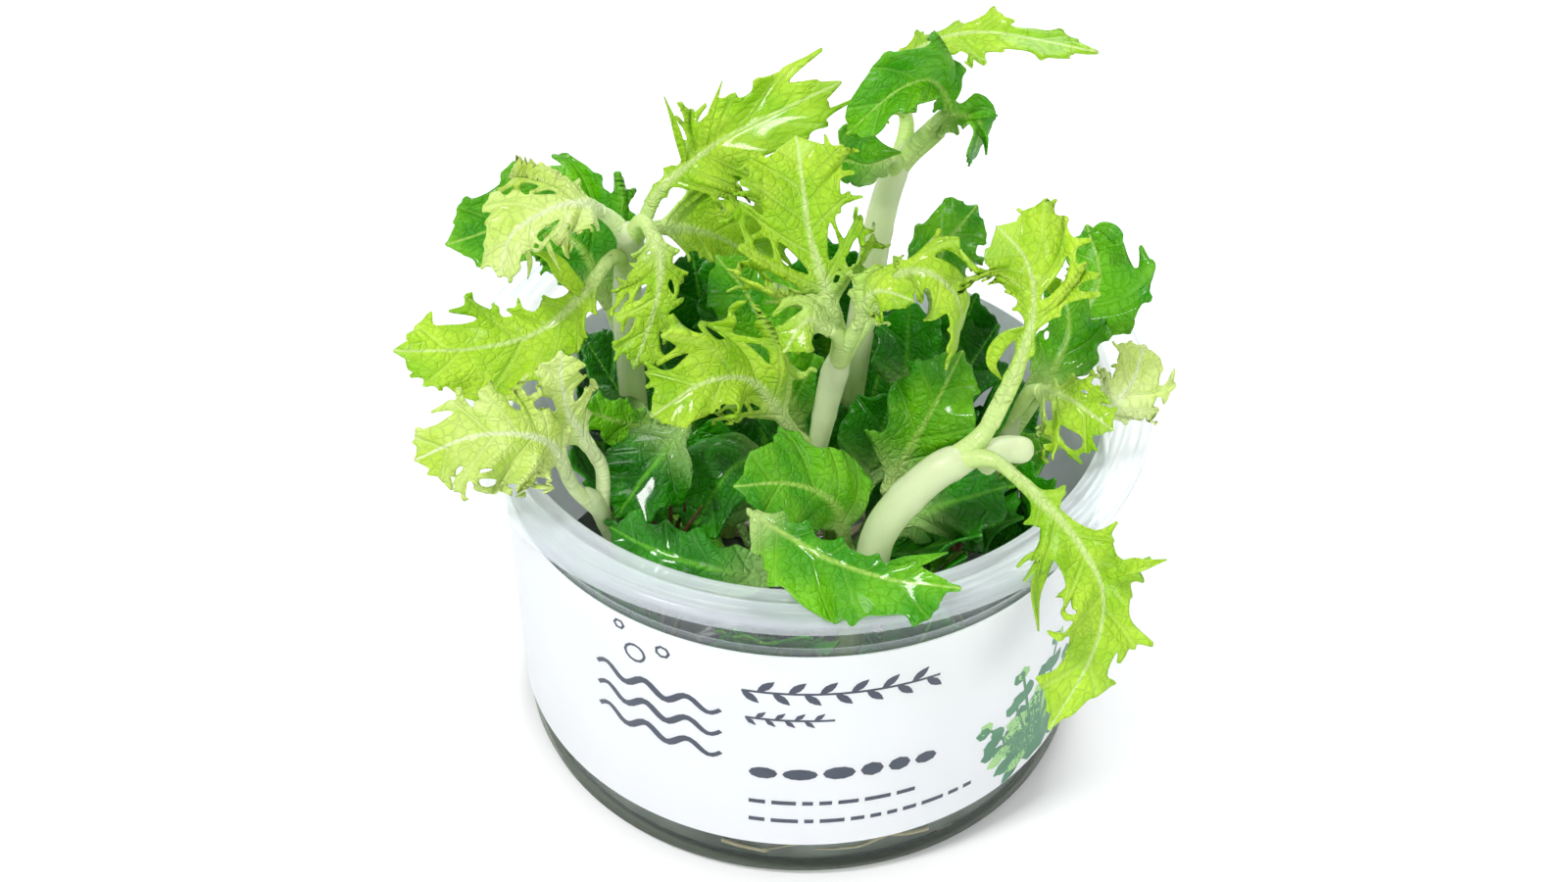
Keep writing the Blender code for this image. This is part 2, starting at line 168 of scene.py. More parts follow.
def label_paper():
    # Coated white label paper: satin, a little cold, with the paper's fine tooth
    material, tree, shader = new_material("coated_label_paper")
    where = add(tree, "ShaderNodeTexCoord")
    cloud = add(tree, "ShaderNodeTexNoise", {"Vector": where.outputs["Object"], "Scale": 60.0, "Detail": 4.0})
    tint = add(tree, "ShaderNodeMix", {"Factor": cloud.outputs["Fac"], "A": srgb("#F0F3F8"),
                                       "B": srgb("#FBFCFE")}, data_type="RGBA")
    tree.links.new(tint.outputs["Result"], shader.inputs["Base Color"])
    tooth = add(tree, "ShaderNodeTexNoise", {"Vector": where.outputs["Object"], "Scale": 2500.0})
    bump = add(tree, "ShaderNodeBump", {"Height": tooth.outputs["Fac"], "Strength": 0.1, "Distance": 0.0001})
    tree.links.new(bump.outputs["Normal"], shader.inputs["Normal"])
    shader.inputs["Roughness"].default_value = 0.42
    # Some daylight comes through the sheet, which keeps the cup's inside light
    through = add(tree, "ShaderNodeBsdfTranslucent", {"Color": srgb("#FAFCFB")})
    both = add(tree, "ShaderNodeMixShader", {0: 0.36, 1: shader.outputs[0], 2: through.outputs[0]})
    tree.links.new(both.outputs[0], tree.nodes["Material Output"].inputs["Surface"])
    return material


def printing_ink(name, dark, light):
    # Offset ink on the paper: even, a little shinier than the sheet
    material, tree, shader = new_material(name)
    where = add(tree, "ShaderNodeTexCoord")
    cloud = add(tree, "ShaderNodeTexNoise", {"Vector": where.outputs["Object"], "Scale": 260.0})
    tint = add(tree, "ShaderNodeMix", {"Factor": cloud.outputs["Fac"], "A": srgb(dark), "B": srgb(light)},
               data_type="RGBA")
    tree.links.new(tint.outputs["Result"], shader.inputs["Base Color"])
    shader.inputs["Roughness"].default_value = 0.38
    return material


def culture_gel():
    # Agar gel, grey-olive and cloudy, stained green and brown where roots run in it
    material, tree, shader = new_material("cloudy_agar_gel")
    where = add(tree, "ShaderNodeTexCoord")
    cloud = add(tree, "ShaderNodeTexNoise", {"Vector": where.outputs["Object"], "Scale": 55.0, "Detail": 4.0,
                                             "Distortion": 0.6})
    ramp = add(tree, "ShaderNodeValToRGB", {"Fac": cloud.outputs["Fac"]})
    stops = ramp.color_ramp.elements
    stops[0].position, stops[0].color = 0.32, srgb("#2E3629")
    stops[1].position, stops[1].color = 0.66, srgb("#6E766A")
    middle = stops.new(0.48)
    middle.color = srgb("#4A5246")
    tree.links.new(ramp.outputs["Color"], shader.inputs["Base Color"])
    shader.inputs["Roughness"].default_value = 0.22
    shader.inputs["Subsurface Weight"].default_value = 0.25
    shader.inputs["Subsurface Radius"].default_value = (0.003, 0.004, 0.002)
    bump = add(tree, "ShaderNodeBump", {"Height": cloud.outputs["Fac"], "Strength": 0.3, "Distance": 0.001})
    tree.links.new(bump.outputs["Normal"], shader.inputs["Normal"])
    return material


def stem_flesh(name, pale, green):
    # Watery young stem: pale, waxy, with lengthwise streaks about 0.5 mm apart
    material, tree, shader = new_material(name)
    where = add(tree, "ShaderNodeTexCoord")
    stretch = add(tree, "ShaderNodeMapping", {"Vector": where.outputs["Object"], "Scale": (1.0, 1.0, 0.08)})
    streak = add(tree, "ShaderNodeTexNoise", {"Vector": stretch.outputs["Vector"], "Scale": 1400.0,
                                              "Detail": 2.0})
    # Painted shade: lower in the cup, from 66 mm down to 30 mm, the colour is mixed more and more toward the darker
    # last colour, streaks and all
    height = add(tree, "ShaderNodeSeparateXYZ", {"Vector": where.outputs["Object"]})
    deep = add(tree, "ShaderNodeMapRange", {"Value": height.outputs["Z"], "From Min": 0.03,
                                            "From Max": 0.066, "To Min": 1.0, "To Max": 0.12})
    mixed = add(tree, "ShaderNodeMath", {0: deep.outputs["Result"], 1: streak.outputs["Fac"]},
                operation="MULTIPLY_ADD")
    tree.links.new(deep.outputs["Result"], mixed.inputs[2])
    half = add(tree, "ShaderNodeMath", {0: mixed.outputs[0], 1: 0.6}, operation="MULTIPLY", use_clamp=True)
    tint = add(tree, "ShaderNodeMix", {"Factor": half.outputs[0], "A": srgb(pale), "B": srgb(green)},
               data_type="RGBA")
    tree.links.new(tint.outputs["Result"], shader.inputs["Base Color"])
    shader.inputs["Roughness"].default_value = 0.34
    shader.inputs["Subsurface Weight"].default_value = 0.35
    shader.inputs["Subsurface Radius"].default_value = (0.003, 0.004, 0.0015)
    bump = add(tree, "ShaderNodeBump", {"Height": streak.outputs["Fac"], "Strength": 0.25,
                                        "Distance": 0.0003})
    tree.links.new(bump.outputs["Normal"], shader.inputs["Normal"])
    lit = add(tree, "ShaderNodeBsdfTranslucent", {"Color": tint.outputs["Result"]})
    both = add(tree, "ShaderNodeMixShader", {0: 0.42, 1: shader.outputs[0], 2: lit.outputs[0]})
    tree.links.new(both.outputs[0], tree.nodes["Material Output"].inputs["Surface"])
    return material


def leaf_blade(name, deep, bright, rib, base, glow, gloss, wet, through, rib_share):
    # Thin moist leaf: light comes through it, the ribs and the stalk stay pale, and the blade
    # bulges a little between its veins. The net of small veins has meshes of about 1.3 mm.
    material, tree, shader = new_material(name)
    veins = add(tree, "ShaderNodeUVMap", uv_map="veins")
    blade = add(tree, "ShaderNodeUVMap", uv_map="blade")
    where = add(tree, "ShaderNodeTexCoord")
    along = add(tree, "ShaderNodeSeparateXYZ", {"Vector": veins.outputs["UV"]})
    flat = add(tree, "ShaderNodeSeparateXYZ", {"Vector": blade.outputs["UV"]})

    # Side veins: the phase is a whole number on each of them
    shifted = add(tree, "ShaderNodeMath", {0: along.outputs["X"], 1: 0.5}, operation="ADD")
    turn = add(tree, "ShaderNodeMath", {0: shifted.outputs[0]}, operation="FRACT")
    centred = add(tree, "ShaderNodeMath", {0: turn.outputs[0], 1: 0.5}, operation="SUBTRACT")
    away = add(tree, "ShaderNodeMath", {0: centred.outputs[0]}, operation="ABSOLUTE")
    side_vein = add(tree, "ShaderNodeMapRange", {"Value": away.outputs[0], "From Min": 0.01,
                                                 "From Max": 0.11, "To Min": 1.0, "To Max": 0.0},
                    interpolation_type="SMOOTHSTEP")
    # Midrib: the second number is 1 at the rib's edge
    across = add(tree, "ShaderNodeMath", {0: along.outputs["Y"]}, operation="ABSOLUTE")
    midrib = add(tree, "ShaderNodeMapRange", {"Value": across.outputs[0], "From Min": 0.3,
                                              "From Max": 2.0, "To Min": 1.0, "To Max": 0.0},
                 interpolation_type="SMOOTHSTEP")
    net = add(tree, "ShaderNodeTexVoronoi", {"Vector": blade.outputs["UV"], "Scale": 7.5},
              feature="DISTANCE_TO_EDGE")
    small_vein = add(tree, "ShaderNodeMapRange", {"Value": net.outputs["Distance"], "From Min": 0.0,
                                                  "From Max": 0.09, "To Min": 0.45, "To Max": 0.0})
    lesser = add(tree, "ShaderNodeMath", {0: side_vein.outputs["Result"], 1: small_vein.outputs["Result"]},
                 operation="MAXIMUM")
    lesser_share = add(tree, "ShaderNodeMath", {0: lesser.outputs[0], 1: rib_share}, operation="MULTIPLY")
    ribs = add(tree, "ShaderNodeMath", {0: midrib.outputs["Result"], 1: lesser_share.outputs[0]},
               operation="MAXIMUM")

    patch = add(tree, "ShaderNodeTexNoise", {"Vector": where.outputs["Object"], "Scale": 110.0,
                                             "Detail": 3.0})
    spread = add(tree, "ShaderNodeMapRange", {"Value": patch.outputs["Fac"], "From Min": 0.35,
                                              "From Max": 0.65})
    green = add(tree, "ShaderNodeMix", {"Factor": spread.outputs["Result"], "A": srgb(deep),
                                        "B": srgb(bright)}, data_type="RGBA")
    ribbed = add(tree, "ShaderNodeMix", {"Factor": ribs.outputs[0], "A": green.outputs["Result"],
                                         "B": srgb(rib)}, data_type="RGBA")
    near_stalk = add(tree, "ShaderNodeMapRange", {"Value": flat.outputs["X"], "From Min": 0.1,
                                                  "From Max": 0.9, "To Min": 0.85, "To Max": 0.0},
                     interpolation_type="SMOOTHSTEP")
    whole = add(tree, "ShaderNodeMix", {"Factor": near_stalk.outputs["Result"],
                                        "A": ribbed.outputs["Result"], "B": srgb(base)}, data_type="RGBA")
    tree.links.new(whole.outputs["Result"], shader.inputs["Base Color"])

    rough = add(tree, "ShaderNodeMapRange", {"Value": patch.outputs["Fac"], "To Min": gloss,
                                             "To Max": gloss + 0.18})
    tree.links.new(rough.outputs["Result"], shader.inputs["Roughness"])
    shader.inputs["Specular IOR Level"].default_value = 0.32
    shader.inputs["Coat Weight"].default_value = wet
    shader.inputs["Coat Roughness"].default_value = 0.10

    # Puckers between the veins, and a fine grain of cells
    grain = add(tree, "ShaderNodeTexNoise", {"Vector": blade.outputs["UV"], "Scale": 22.0, "Detail": 3.0})
    pucker = add(tree, "ShaderNodeMath", {0: net.outputs["Distance"], 1: grain.outputs["Fac"]},
                 operation="ADD")
    raised = add(tree, "ShaderNodeMath", {0: pucker.outputs[0], 1: lesser.outputs[0]}, operation="SUBTRACT")
    bump = add(tree, "ShaderNodeBump", {"Height": raised.outputs[0], "Strength": 0.55, "Distance": 0.0008})
    tree.links.new(bump.outputs["Normal"], shader.inputs["Normal"])

    lit = add(tree, "ShaderNodeMix", {"Factor": 0.55, "A": whole.outputs["Result"], "B": srgb(glow)},
              data_type="RGBA")
    back = add(tree, "ShaderNodeBsdfTranslucent", {"Color": lit.outputs["Result"]})
    both = add(tree, "ShaderNodeMixShader", {0: through, 1: shader.outputs[0], 2: back.outputs[0]})
    tree.links.new(both.outputs[0], tree.nodes["Material Output"].inputs["Surface"])
    return material


LEAVES = {
    "pale": leaf_blade("palest_young_leaf", "#C4E24C", "#EAF8A4", "#F2FACE", "#E8F6C0", "#D2F46C",
                       0.32, 0.3, 0.34, 0.16),
    "young": leaf_blade("young_leaf_blade", "#94CC10", "#CBEC44", "#DCF09A", "#DCF0A0", "#C2F434",
                        0.27, 0.3, 0.34, 0.14),
    "mid": leaf_blade("half_grown_leaf_blade", "#3A9C00", "#7CCA14", "#ACDA5C", "#C8E08C", "#84EC00",
                      0.20, 0.34, 0.30, 0.14),
    "old": leaf_blade("grown_leaf_blade", "#126400", "#34A000", "#62B626", "#A4CA74", "#48D800",
                      0.14, 0.42, 0.26, 0.12),
}
SLOT = {"pale": "young_leaf", "young": "young_leaf", "mid": "mid_leaf", "old": "old_leaf"}
PLASTIC = clear_plastic()
PAPER = label_paper()
SLATE_INK = printing_ink("slate_offset_ink", "#2E3644", "#3D4656")
GREEN_INK = printing_ink("green_offset_ink", "#245C42", "#4A8C62")
PALE_GREEN_INK = printing_ink("pale_green_offset_ink", "#6FAE6C", "#A9CF7E")
GEL = culture_gel()
# The last colour of each is the painted shade deep in the cup
STEM = stem_flesh("watery_stem_flesh", "#F0F7D6", "#98BC4C")
ROOT = stem_flesh("white_root_skin", "#EDEBDC", "#B7AE86")
OLD_ROOT = stem_flesh("brown_root_skin", "#8E6C48", "#5A4028")


# Floor, light and camera
def set_stage():
    bpy.ops.mesh.primitive_plane_add(size=6.0, location=(0, 0, -0.0002))
    floor = bpy.context.object
    floor.name = "pale_floor"
    material, tree, shader = new_material("pale_paper_floor")
    where = add(tree, "ShaderNodeTexCoord")
    cloud = add(tree, "ShaderNodeTexNoise", {"Vector": where.outputs["Object"], "Scale": 8.0})
    tint = add(tree, "ShaderNodeMix", {"Factor": cloud.outputs["Fac"], "A": srgb("#F5F6F7"),
                                       "B": srgb("#F8F9FA")}, data_type="RGBA")
    tree.links.new(tint.outputs["Result"], shader.inputs["Base Color"])
    shader.inputs["Roughness"].default_value = 0.7
    floor.data.materials.append(material)

    world = bpy.data.worlds.new("soft_studio")
    bpy.context.scene.world = world
    world.use_nodes = True
    sky = world.node_tree.nodes["Background"]
    sky.inputs["Color"].default_value = (1.0, 1.0, 1.0, 1.0)
    sky.inputs["Strength"].default_value = 0.60

    for name, place, watts, size in (("key", (-0.45, -0.35, 0.85), 6.0, 0.16),
                                     ("fill", (0.3, -0.75, 0.5), 2.8, 0.3),
                                     ("back", (0.15, 0.65, 0.7), 4.4, 0.4)):
        lamp = bpy.data.lights.new(name, "AREA")
        lamp.energy = watts
        lamp.size = size
        holder = bpy.data.objects.new(name, lamp)
        bpy.context.collection.objects.link(holder)
        holder.location = place
        aim = Vector((0, 0, 0.05)) - Vector(place)
        holder.rotation_euler = aim.to_track_quat("-Z", "Y").to_euler()


def set_camera():
    """The photo's viewing angle: 41.7 degrees down, from 372 mm, with the horizon turned 1.2 degrees."""
    elevation, distance, roll = math.radians(41.66), 0.3719, math.radians(1.15)
    back = Vector((0, -math.cos(elevation), math.sin(elevation)))
    right = Vector((1, 0, 0))
    up = back.cross(right)
    turned_right = right * math.cos(roll) + up * math.sin(roll)
    turned_up = up * math.cos(roll) - right * math.sin(roll)
    lens = bpy.data.cameras.new("camera")
    lens.lens = 57.55
    lens.sensor_width = 36.0
    lens.shift_x = -0.0129
    lens.shift_y = 0.0102
    lens.clip_start = 0.01
    camera = bpy.data.objects.new("camera", lens)
    bpy.context.collection.objects.link(camera)
    place = Vector((0, 0, 0.045)) + back * distance
    camera.matrix_world = Matrix((
        (turned_right.x, turned_up.x, back.x, place.x),
        (turned_right.y, turned_up.y, back.y, place.y),
        (turned_right.z, turned_up.z, back.z, place.z),
        (0, 0, 0, 1)))
    bpy.context.scene.camera = camera


# Cup, gel and label
def turned(profile, closed_ends=True):
    """A circle drawn up and out along a profile of (radius, height), as on a lathe."""
    clear_selection()
    r, z = profile[0]
    bpy.ops.mesh.primitive_circle_add(vertices=ROUND, radius=r * MM, location=(0, 0, z * MM))
    piece = bpy.context.object
    bpy.ops.object.transform_apply(location=True, rotation=True, scale=True)
    bpy.ops.object.mode_set(mode="EDIT")
    bpy.ops.mesh.select_all(action="SELECT")
    if closed_ends:
        bpy.ops.mesh.edge_face_add()
        bpy.ops.mesh.select_mode(type="EDGE")
    for next_r, next_z in profile[1:]:
        bpy.ops.mesh.extrude_region_move(
            TRANSFORM_OT_translate={"value": (0, 0, (next_z - z) * MM)})
        bpy.ops.transform.resize(value=(next_r / r, next_r / r, 1.0), center_override=(0, 0, 0))
        r, z = next_r, next_z
    bpy.ops.mesh.select_all(action="SELECT")
    bpy.ops.mesh.remove_doubles(threshold=0.000001)
    bpy.ops.mesh.normals_make_consistent(inside=False)
    bpy.ops.object.mode_set(mode="OBJECT")
    return piece


def cup():
    top = CUP_HEIGHT
    outside = [
        (38.5, 0.25), (39.2, 0.0), (40.4, 0.0), (41.5, 0.25), (42.2, 0.9), (wall_radius(2.4), 2.4),
        (wall_radius(20), 20.0), (wall_radius(49.7), 49.7),
        # The stacking ring that shows as a bright line above the label
        (44.1, 49.9), (44.5, 50.15), (44.75, 50.45), (44.8, 50.7), (44.7, 50.95), (44.5, 51.1),
        (44.6, 55.0), (44.7, 58.6), (44.9, 59.1), (45.4, 59.3), (48.6, 59.3), (49.0, 59.1),
        (49.3, 58.4), (49.5, 58.15), (49.8, 58.15), (50.0, 58.4), (50.0, 60.2), (49.85, 60.55),
        (49.5, 60.7),
    ]
    # The flange's top has two fine concentric ridges
    flange = [
        (48.9, 60.7), (48.6, 60.62), (48.3, 60.52), (47.3, 60.52), (47.0, 60.65), (46.7, 60.7),
        (46.4, 60.65), (46.1, 60.52), (45.3, 60.52), (45.0, 60.65), (44.6, 60.7), (44.0, 60.6),
        (43.5, 60.3), (wall_radius(top) - WALL, 59.6),
    ]
    inside = [
        (wall_radius(40) - WALL, 40.0), (wall_radius(2.4) - WALL, 2.8), (41.2, 1.9), (40.4, 1.4),
        (39.2, FLOOR),
    ]
    piece = turned(outside + flange + inside)
    bpy.ops.object.mode_set(mode="EDIT")
    bpy.ops.mesh.select_mode(type="EDGE")
    bpy.ops.mesh.select_all(action="DESELECT")
    bpy.ops.mesh.select_non_manifold()
    bpy.ops.mesh.edge_face_add()
    bpy.ops.mesh.select_all(action="SELECT")
    bpy.ops.mesh.normals_make_consistent(inside=False)
    bpy.ops.object.mode_set(mode="OBJECT")
    bpy.ops.object.shade_smooth_by_angle(angle=math.radians(50))
    keep(piece, "clear_cup", PLASTIC, "clear_plastic", "cup")


def culture_bed():
    """The gel, a little sunk in the middle, with a rough top where stems and roots come out."""
    side = GEL_TOP
    edge = wall_radius(GEL_TOP) - WALL - CLEARANCE
    profile = [(38.0, FLOOR + CLEARANCE), (39.4, 1.55), (40.4, 1.8), (41.1, 2.4), (41.3, 3.2),
               (edge - 0.05, 9.0), (edge, side - 0.4), (edge - 0.6, side), (edge - 3, side - 0.7)]
    profile += [(edge - step, side - 0.8) for step in (6, 9, 12, 15, 18, 21, 24, 27, 30, 33, 36, 39)]
    piece = turned(profile)
    bpy.ops.object.mode_set(mode="EDIT")
    bpy.ops.mesh.select_mode(type="EDGE")
    bpy.ops.mesh.select_all(action="DESELECT")
    bpy.ops.mesh.select_non_manifold()
    bpy.ops.mesh.edge_face_add()
    bpy.ops.mesh.select_all(action="SELECT")
    bpy.ops.mesh.normals_make_consistent(inside=False)
    bpy.ops.object.mode_set(mode="OBJECT")
    for v in piece.data.vertices:
        if v.co.z > (side - 1.0) * MM:
            x, y = v.co.x / MM, v.co.y / MM
            v.co.z += 0.35 * MM * math.sin(x * 0.9 + 1.3 * math.sin(y * 0.7)) * math.cos(y * 0.8)
    bpy.ops.object.shade_smooth_by_angle(angle=math.radians(60))
    keep(piece, "agar_bed", GEL, "culture_gel", "nutrient_gel")


def label_band():
    low = wall_radius(LABEL_BOTTOM) + CLEARANCE
    high = wall_radius(LABEL_TOP) + CLEARANCE
    middle = (low + high) / 2
    piece = turned([(low, LABEL_BOTTOM), (middle, (LABEL_BOTTOM + LABEL_TOP) / 2), (high, LABEL_TOP)], False)
    bpy.ops.object.mode_set(mode="EDIT")
    bpy.ops.mesh.select_mode(type="FACE")
    bpy.ops.mesh.select_all(action="DESELECT")
    bpy.ops.object.mode_set(mode="OBJECT")
    for face in piece.data.polygons:
        angle = math.degrees(math.atan2(face.center.x, face.center.y))
        face.select = abs(angle) < LABEL_GAP_DEGREES
    bpy.ops.object.mode_set(mode="EDIT")
    bpy.ops.mesh.delete(type="FACE")
    bpy.ops.object.mode_set(mode="OBJECT")
    sheet = piece.modifiers.new("sheet", "SOLIDIFY")
    sheet.thickness = 0.25 * MM
    sheet.offset = 1.0
    bpy.ops.object.modifier_apply(modifier="sheet")
    bpy.ops.object.shade_smooth_by_angle(angle=math.radians(40))
    keep(piece, "paper_band", PAPER, "label_paper", "label")


def printed(strokes, name, ink):
    """Flat strokes laid on the band: each is a run of (round, up, half width) in millimetres."""
    done = []
    for stroke in strokes:
        stroke = np.array(stroke, float)
        steps = max(2, int(np.hypot(*np.diff(stroke[:, :2], axis=0).T).sum() / 0.8))
        clear_selection()
        bpy.ops.mesh.primitive_grid_add(x_subdivisions=steps, y_subdivisions=1, size=1.0)
        piece = bpy.context.object
        share = np.linspace(0, 1, len(stroke))
        for v in piece.data.vertices:
            s = v.co.x + 0.5
            u, z, half = (np.interp(s, share, stroke[:, i]) for i in range(3))
            ahead = np.array([np.interp(min(s + 0.01, 1), share, stroke[:, i])
                              - np.interp(max(s - 0.01, 0), share, stroke[:, i]) for i in range(2)])
            ahead /= max(np.hypot(*ahead), 1e-9)
            u += -ahead[1] * v.co.y * 2 * half
            z += ahead[0] * v.co.y * 2 * half
            radius = wall_radius(z) + CLEARANCE + 0.27
            angle = u / radius
            v.co = (radius * math.sin(angle) * MM, -radius * math.cos(angle) * MM, z * MM)
        done.append(piece)
    piece = joined(done)
    film = piece.modifiers.new("film", "SOLIDIFY")
    film.thickness = 0.03 * MM
    bpy.ops.object.modifier_apply(modifier="film")
    keep(piece, name, ink, "label_paper")


def label_print():
    """A plain design of its own: ripples, dashes and a sprig."""
    ripples = []
    for row, z in enumerate((27.0, 31.5, 36.0)):
        run = [(-31 + 20 * i / 40, z + 1.1 * math.sin(i / 40 * 2 * math.pi * 3), 0.35 + 0.25 * math.sin(math.pi * i / 40))
               for i in range(41)]
        ripples.append(run)
    for u, z, r in ((-24, 42.0, 1.6), (-19.5, 44.5, 1.0), (-26.5, 46.4, 0.8)):
        ripples.append([(u + r * math.cos(a / 16 * 2 * math.pi), z + r * math.sin(a / 16 * 2 * math.pi), 0.22)
                        for a in range(17)])
    printed(ripples, "print_ripples", SLATE_INK)

    vine = [[(-8, 41, 0.2), (20, 41, 0.2)], [(-7.5, 35.5, 0.2), (5, 35.5, 0.2)]]
    for z, left, count, long, half in ((41, -8, 13, 3.0, 0.62), (35.5, -7.5, 8, 1.9, 0.4)):
        for k in range(count):
            u, side = left + 0.72 * long * k, 1 if k % 2 else -1
            vine.append([(u + 0.8 * long * t, z + side * 0.75 * long * t, half * math.sin(math.pi * t) + 0.05)
                         for t in np.linspace(0, 1, 9)])
    printed(vine, "print_vine", SLATE_INK)

    lots = random.Random(7)
    pebbles, u = [], -7.0
    while u < 18:
        long, high = lots.uniform(1.6, 3.0), lots.uniform(1.1, 1.7)
        pebbles.append([(u + long * (1 - math.cos(a)), 24.5 + high - 1.7, high * math.sin(a) + 0.02)
                        for a in np.linspace(0, math.pi, 15)])
        u += 2 * long + 0.7
    for z, right in ((17.6, 18), (13.6, 27)):
        u = -7.0
        while u < right:
            end = min(u + lots.uniform(1.2, 4.0), right)
            pebbles.append([(u, z, 0.4), (end, z, 0.4)])
            u = end + 0.9
    printed(pebbles, "print_pebbles", SLATE_INK)

    dark, light = [], []
    for k in range(13):
        lean = math.radians(165 - 12.5 * k)
        reach = 12 + 4 * math.sin(k * 2.1)
        foot = (41.5 + 0.25 * (k - 6), 9.0)
        tip = (foot[0] + reach * 0.75 * math.cos(lean), foot[1] + reach * (0.45 + math.sin(lean)))
        dark.append([(*foot, 0.4), (*tip, 0.25)])
        for m in range(4):
            share = 0.3 + 0.23 * m
            node = (foot[0] + (tip[0] - foot[0]) * share, foot[1] + (tip[1] - foot[1]) * share)
            for side in (-1, 1):
                swing = lean + side * (0.95 - 0.2 * m)
                long = 5.0 - 0.7 * m
                leaf = [(node[0] + long * t * math.cos(swing), node[1] + long * t * math.sin(swing),
                         1.3 * math.sin(math.pi * t) ** 0.8 + 0.05) for t in np.linspace(0, 1, 9)]
                (dark if (k + m + side) % 3 else light).append(leaf)
    printed(dark, "print_sprig_dark", GREEN_INK)
    printed(light, "print_sprig_light", PALE_GREEN_INK)


# Stems and roots
def run_along(path, s):
    """Points of a smooth run through given points, as in the CAD."""
    p = np.array(path, float)
    p = np.vstack([2 * p[0] - p[1], p, 2 * p[-1] - p[-2]])
    spans = len(p) - 3
    place = np.clip(np.atleast_1d(s), 0, 1) * spans
    k = np.minimum(place.astype(int), spans - 1)
    t = (place - k)[:, None]
    a, b, c, d = p[k], p[k + 1], p[k + 2], p[k + 3]
    return 0.5 * (2 * b + (c - a) * t + (2 * a - 5 * b + 4 * c - d) * t ** 2
                  + (3 * b - a - 3 * c + d) * t ** 3)


def length_of(points):
    return np.concatenate([[0], np.cumsum(np.linalg.norm(np.diff(points, axis=0), axis=1))])


def tube(points, radii):
    """A round tube through points, in millimetres, made a mesh."""
    data = bpy.data.curves.new("tube", "CURVE")
    data.dimensions = "3D"
    data.bevel_depth = MM
    data.bevel_resolution = 4
    data.use_fill_caps = True
    run = data.splines.new("POLY")
    run.points.add(len(points) - 1)
    for point, place, radius in zip(run.points, points, radii):
        point.co = (*(float(c) * MM for c in place), 1.0)
        point.radius = float(radius)
    piece = bpy.data.objects.new("tube", data)
    bpy.context.collection.objects.link(piece)
    pick(piece)
    bpy.ops.object.convert(target="MESH")
    piece = bpy.context.object
    bpy.ops.object.shade_smooth()
    return piece


def joined(parts):
    """Several meshes made one, under the first one's name."""
    clear_selection()
    for part in parts:
        part.select_set(True)
    bpy.context.view_layer.objects.active = parts[0]
    bpy.ops.object.join()
    return bpy.context.object


STEMS = [
    ("stem_tall", [(5, 9, 14), (6, 11, 40), (9, 14, 68), (11, 15, 82), (14, 16, 91)], (2.0, 2.2, 1.9)),
    ("stem_left", [(-22, 4, 14), (-25, 6, 40), (-26, 6, 67), (-25, 5, 80), (-26, 4, 84)], (1.9, 2.1, 1.8)),
    ("stem_centre", [(0, -5, 14), (1, -8, 45), (3, -8, 62), (5, -9, 74)], (1.4, 1.5, 2.3)),
    ("stem_right", [(5, -20, 14), (9, -27, 44), (11, -27.5, 57), (18, -26, 66), (24, -25, 68)],
     (2.2, 2.5, 2.4)),
    ("stem_far_left", [(-22, -13, 14), (-25, -18, 38), (-28, -22, 53), (-30, -23, 59)], (1.3, 1.4, 1.2)),
    ("stem_right_back", [(22, 2, 14), (27, -1, 42), (31, -6, 59)], (1.6, 1.6, 1.3)),
    ("stem_back_left", [(-12, 18, 14), (-12, 20, 25), (-13, 21, 34)], (1.5, 1.5)),
    ("stem_back_right", [(12, 21, 14), (12, 22, 25), (13, 23, 34)], (1.5, 1.5)),
]
STEM_FOOT = 6.0


def stems():
    for name, path, radii in STEMS:
        s = np.linspace(0, 1, 72)
        points = np.vstack([[(path[0][0], path[0][1], STEM_FOOT)], run_along(path, s)])
        thick = np.interp(s, np.linspace(0, 1, len(radii)), radii)
        # A stem swells a little at each joint, and its end is round between the stalks
        for joint in (0.3, 0.62):
            thick = thick * (1 + 0.06 * np.exp(-((s - joint) / 0.02) ** 2))
        thick = thick * np.sqrt(np.clip((1 - s) / 0.16, 0.02, 1))
        piece = tube(points, [radii[0], *thick])
        keep(piece, name[5:] + "_stalk", STEM, "pale_stem", name)
    # The thick short stump beside the bent stem's end
    path = [(24.0, -25.0, 67.0), (26.5, -22.8, 67.2), (29.0, -22.0, 66.7), (31.2, -22.0, 66.2)]
    s = np.linspace(0, 1, 24)
    thick = np.interp(s, [0, 0.4, 0.7, 0.82, 0.91, 0.97, 1], [2.1, 1.9, 1.9, 1.8, 1.5, 0.95, 0.3])
    piece = tube(run_along(path, s), thick)
    keep(piece, "right_stump", STEM, "pale_stem", "leaf_right_stub")


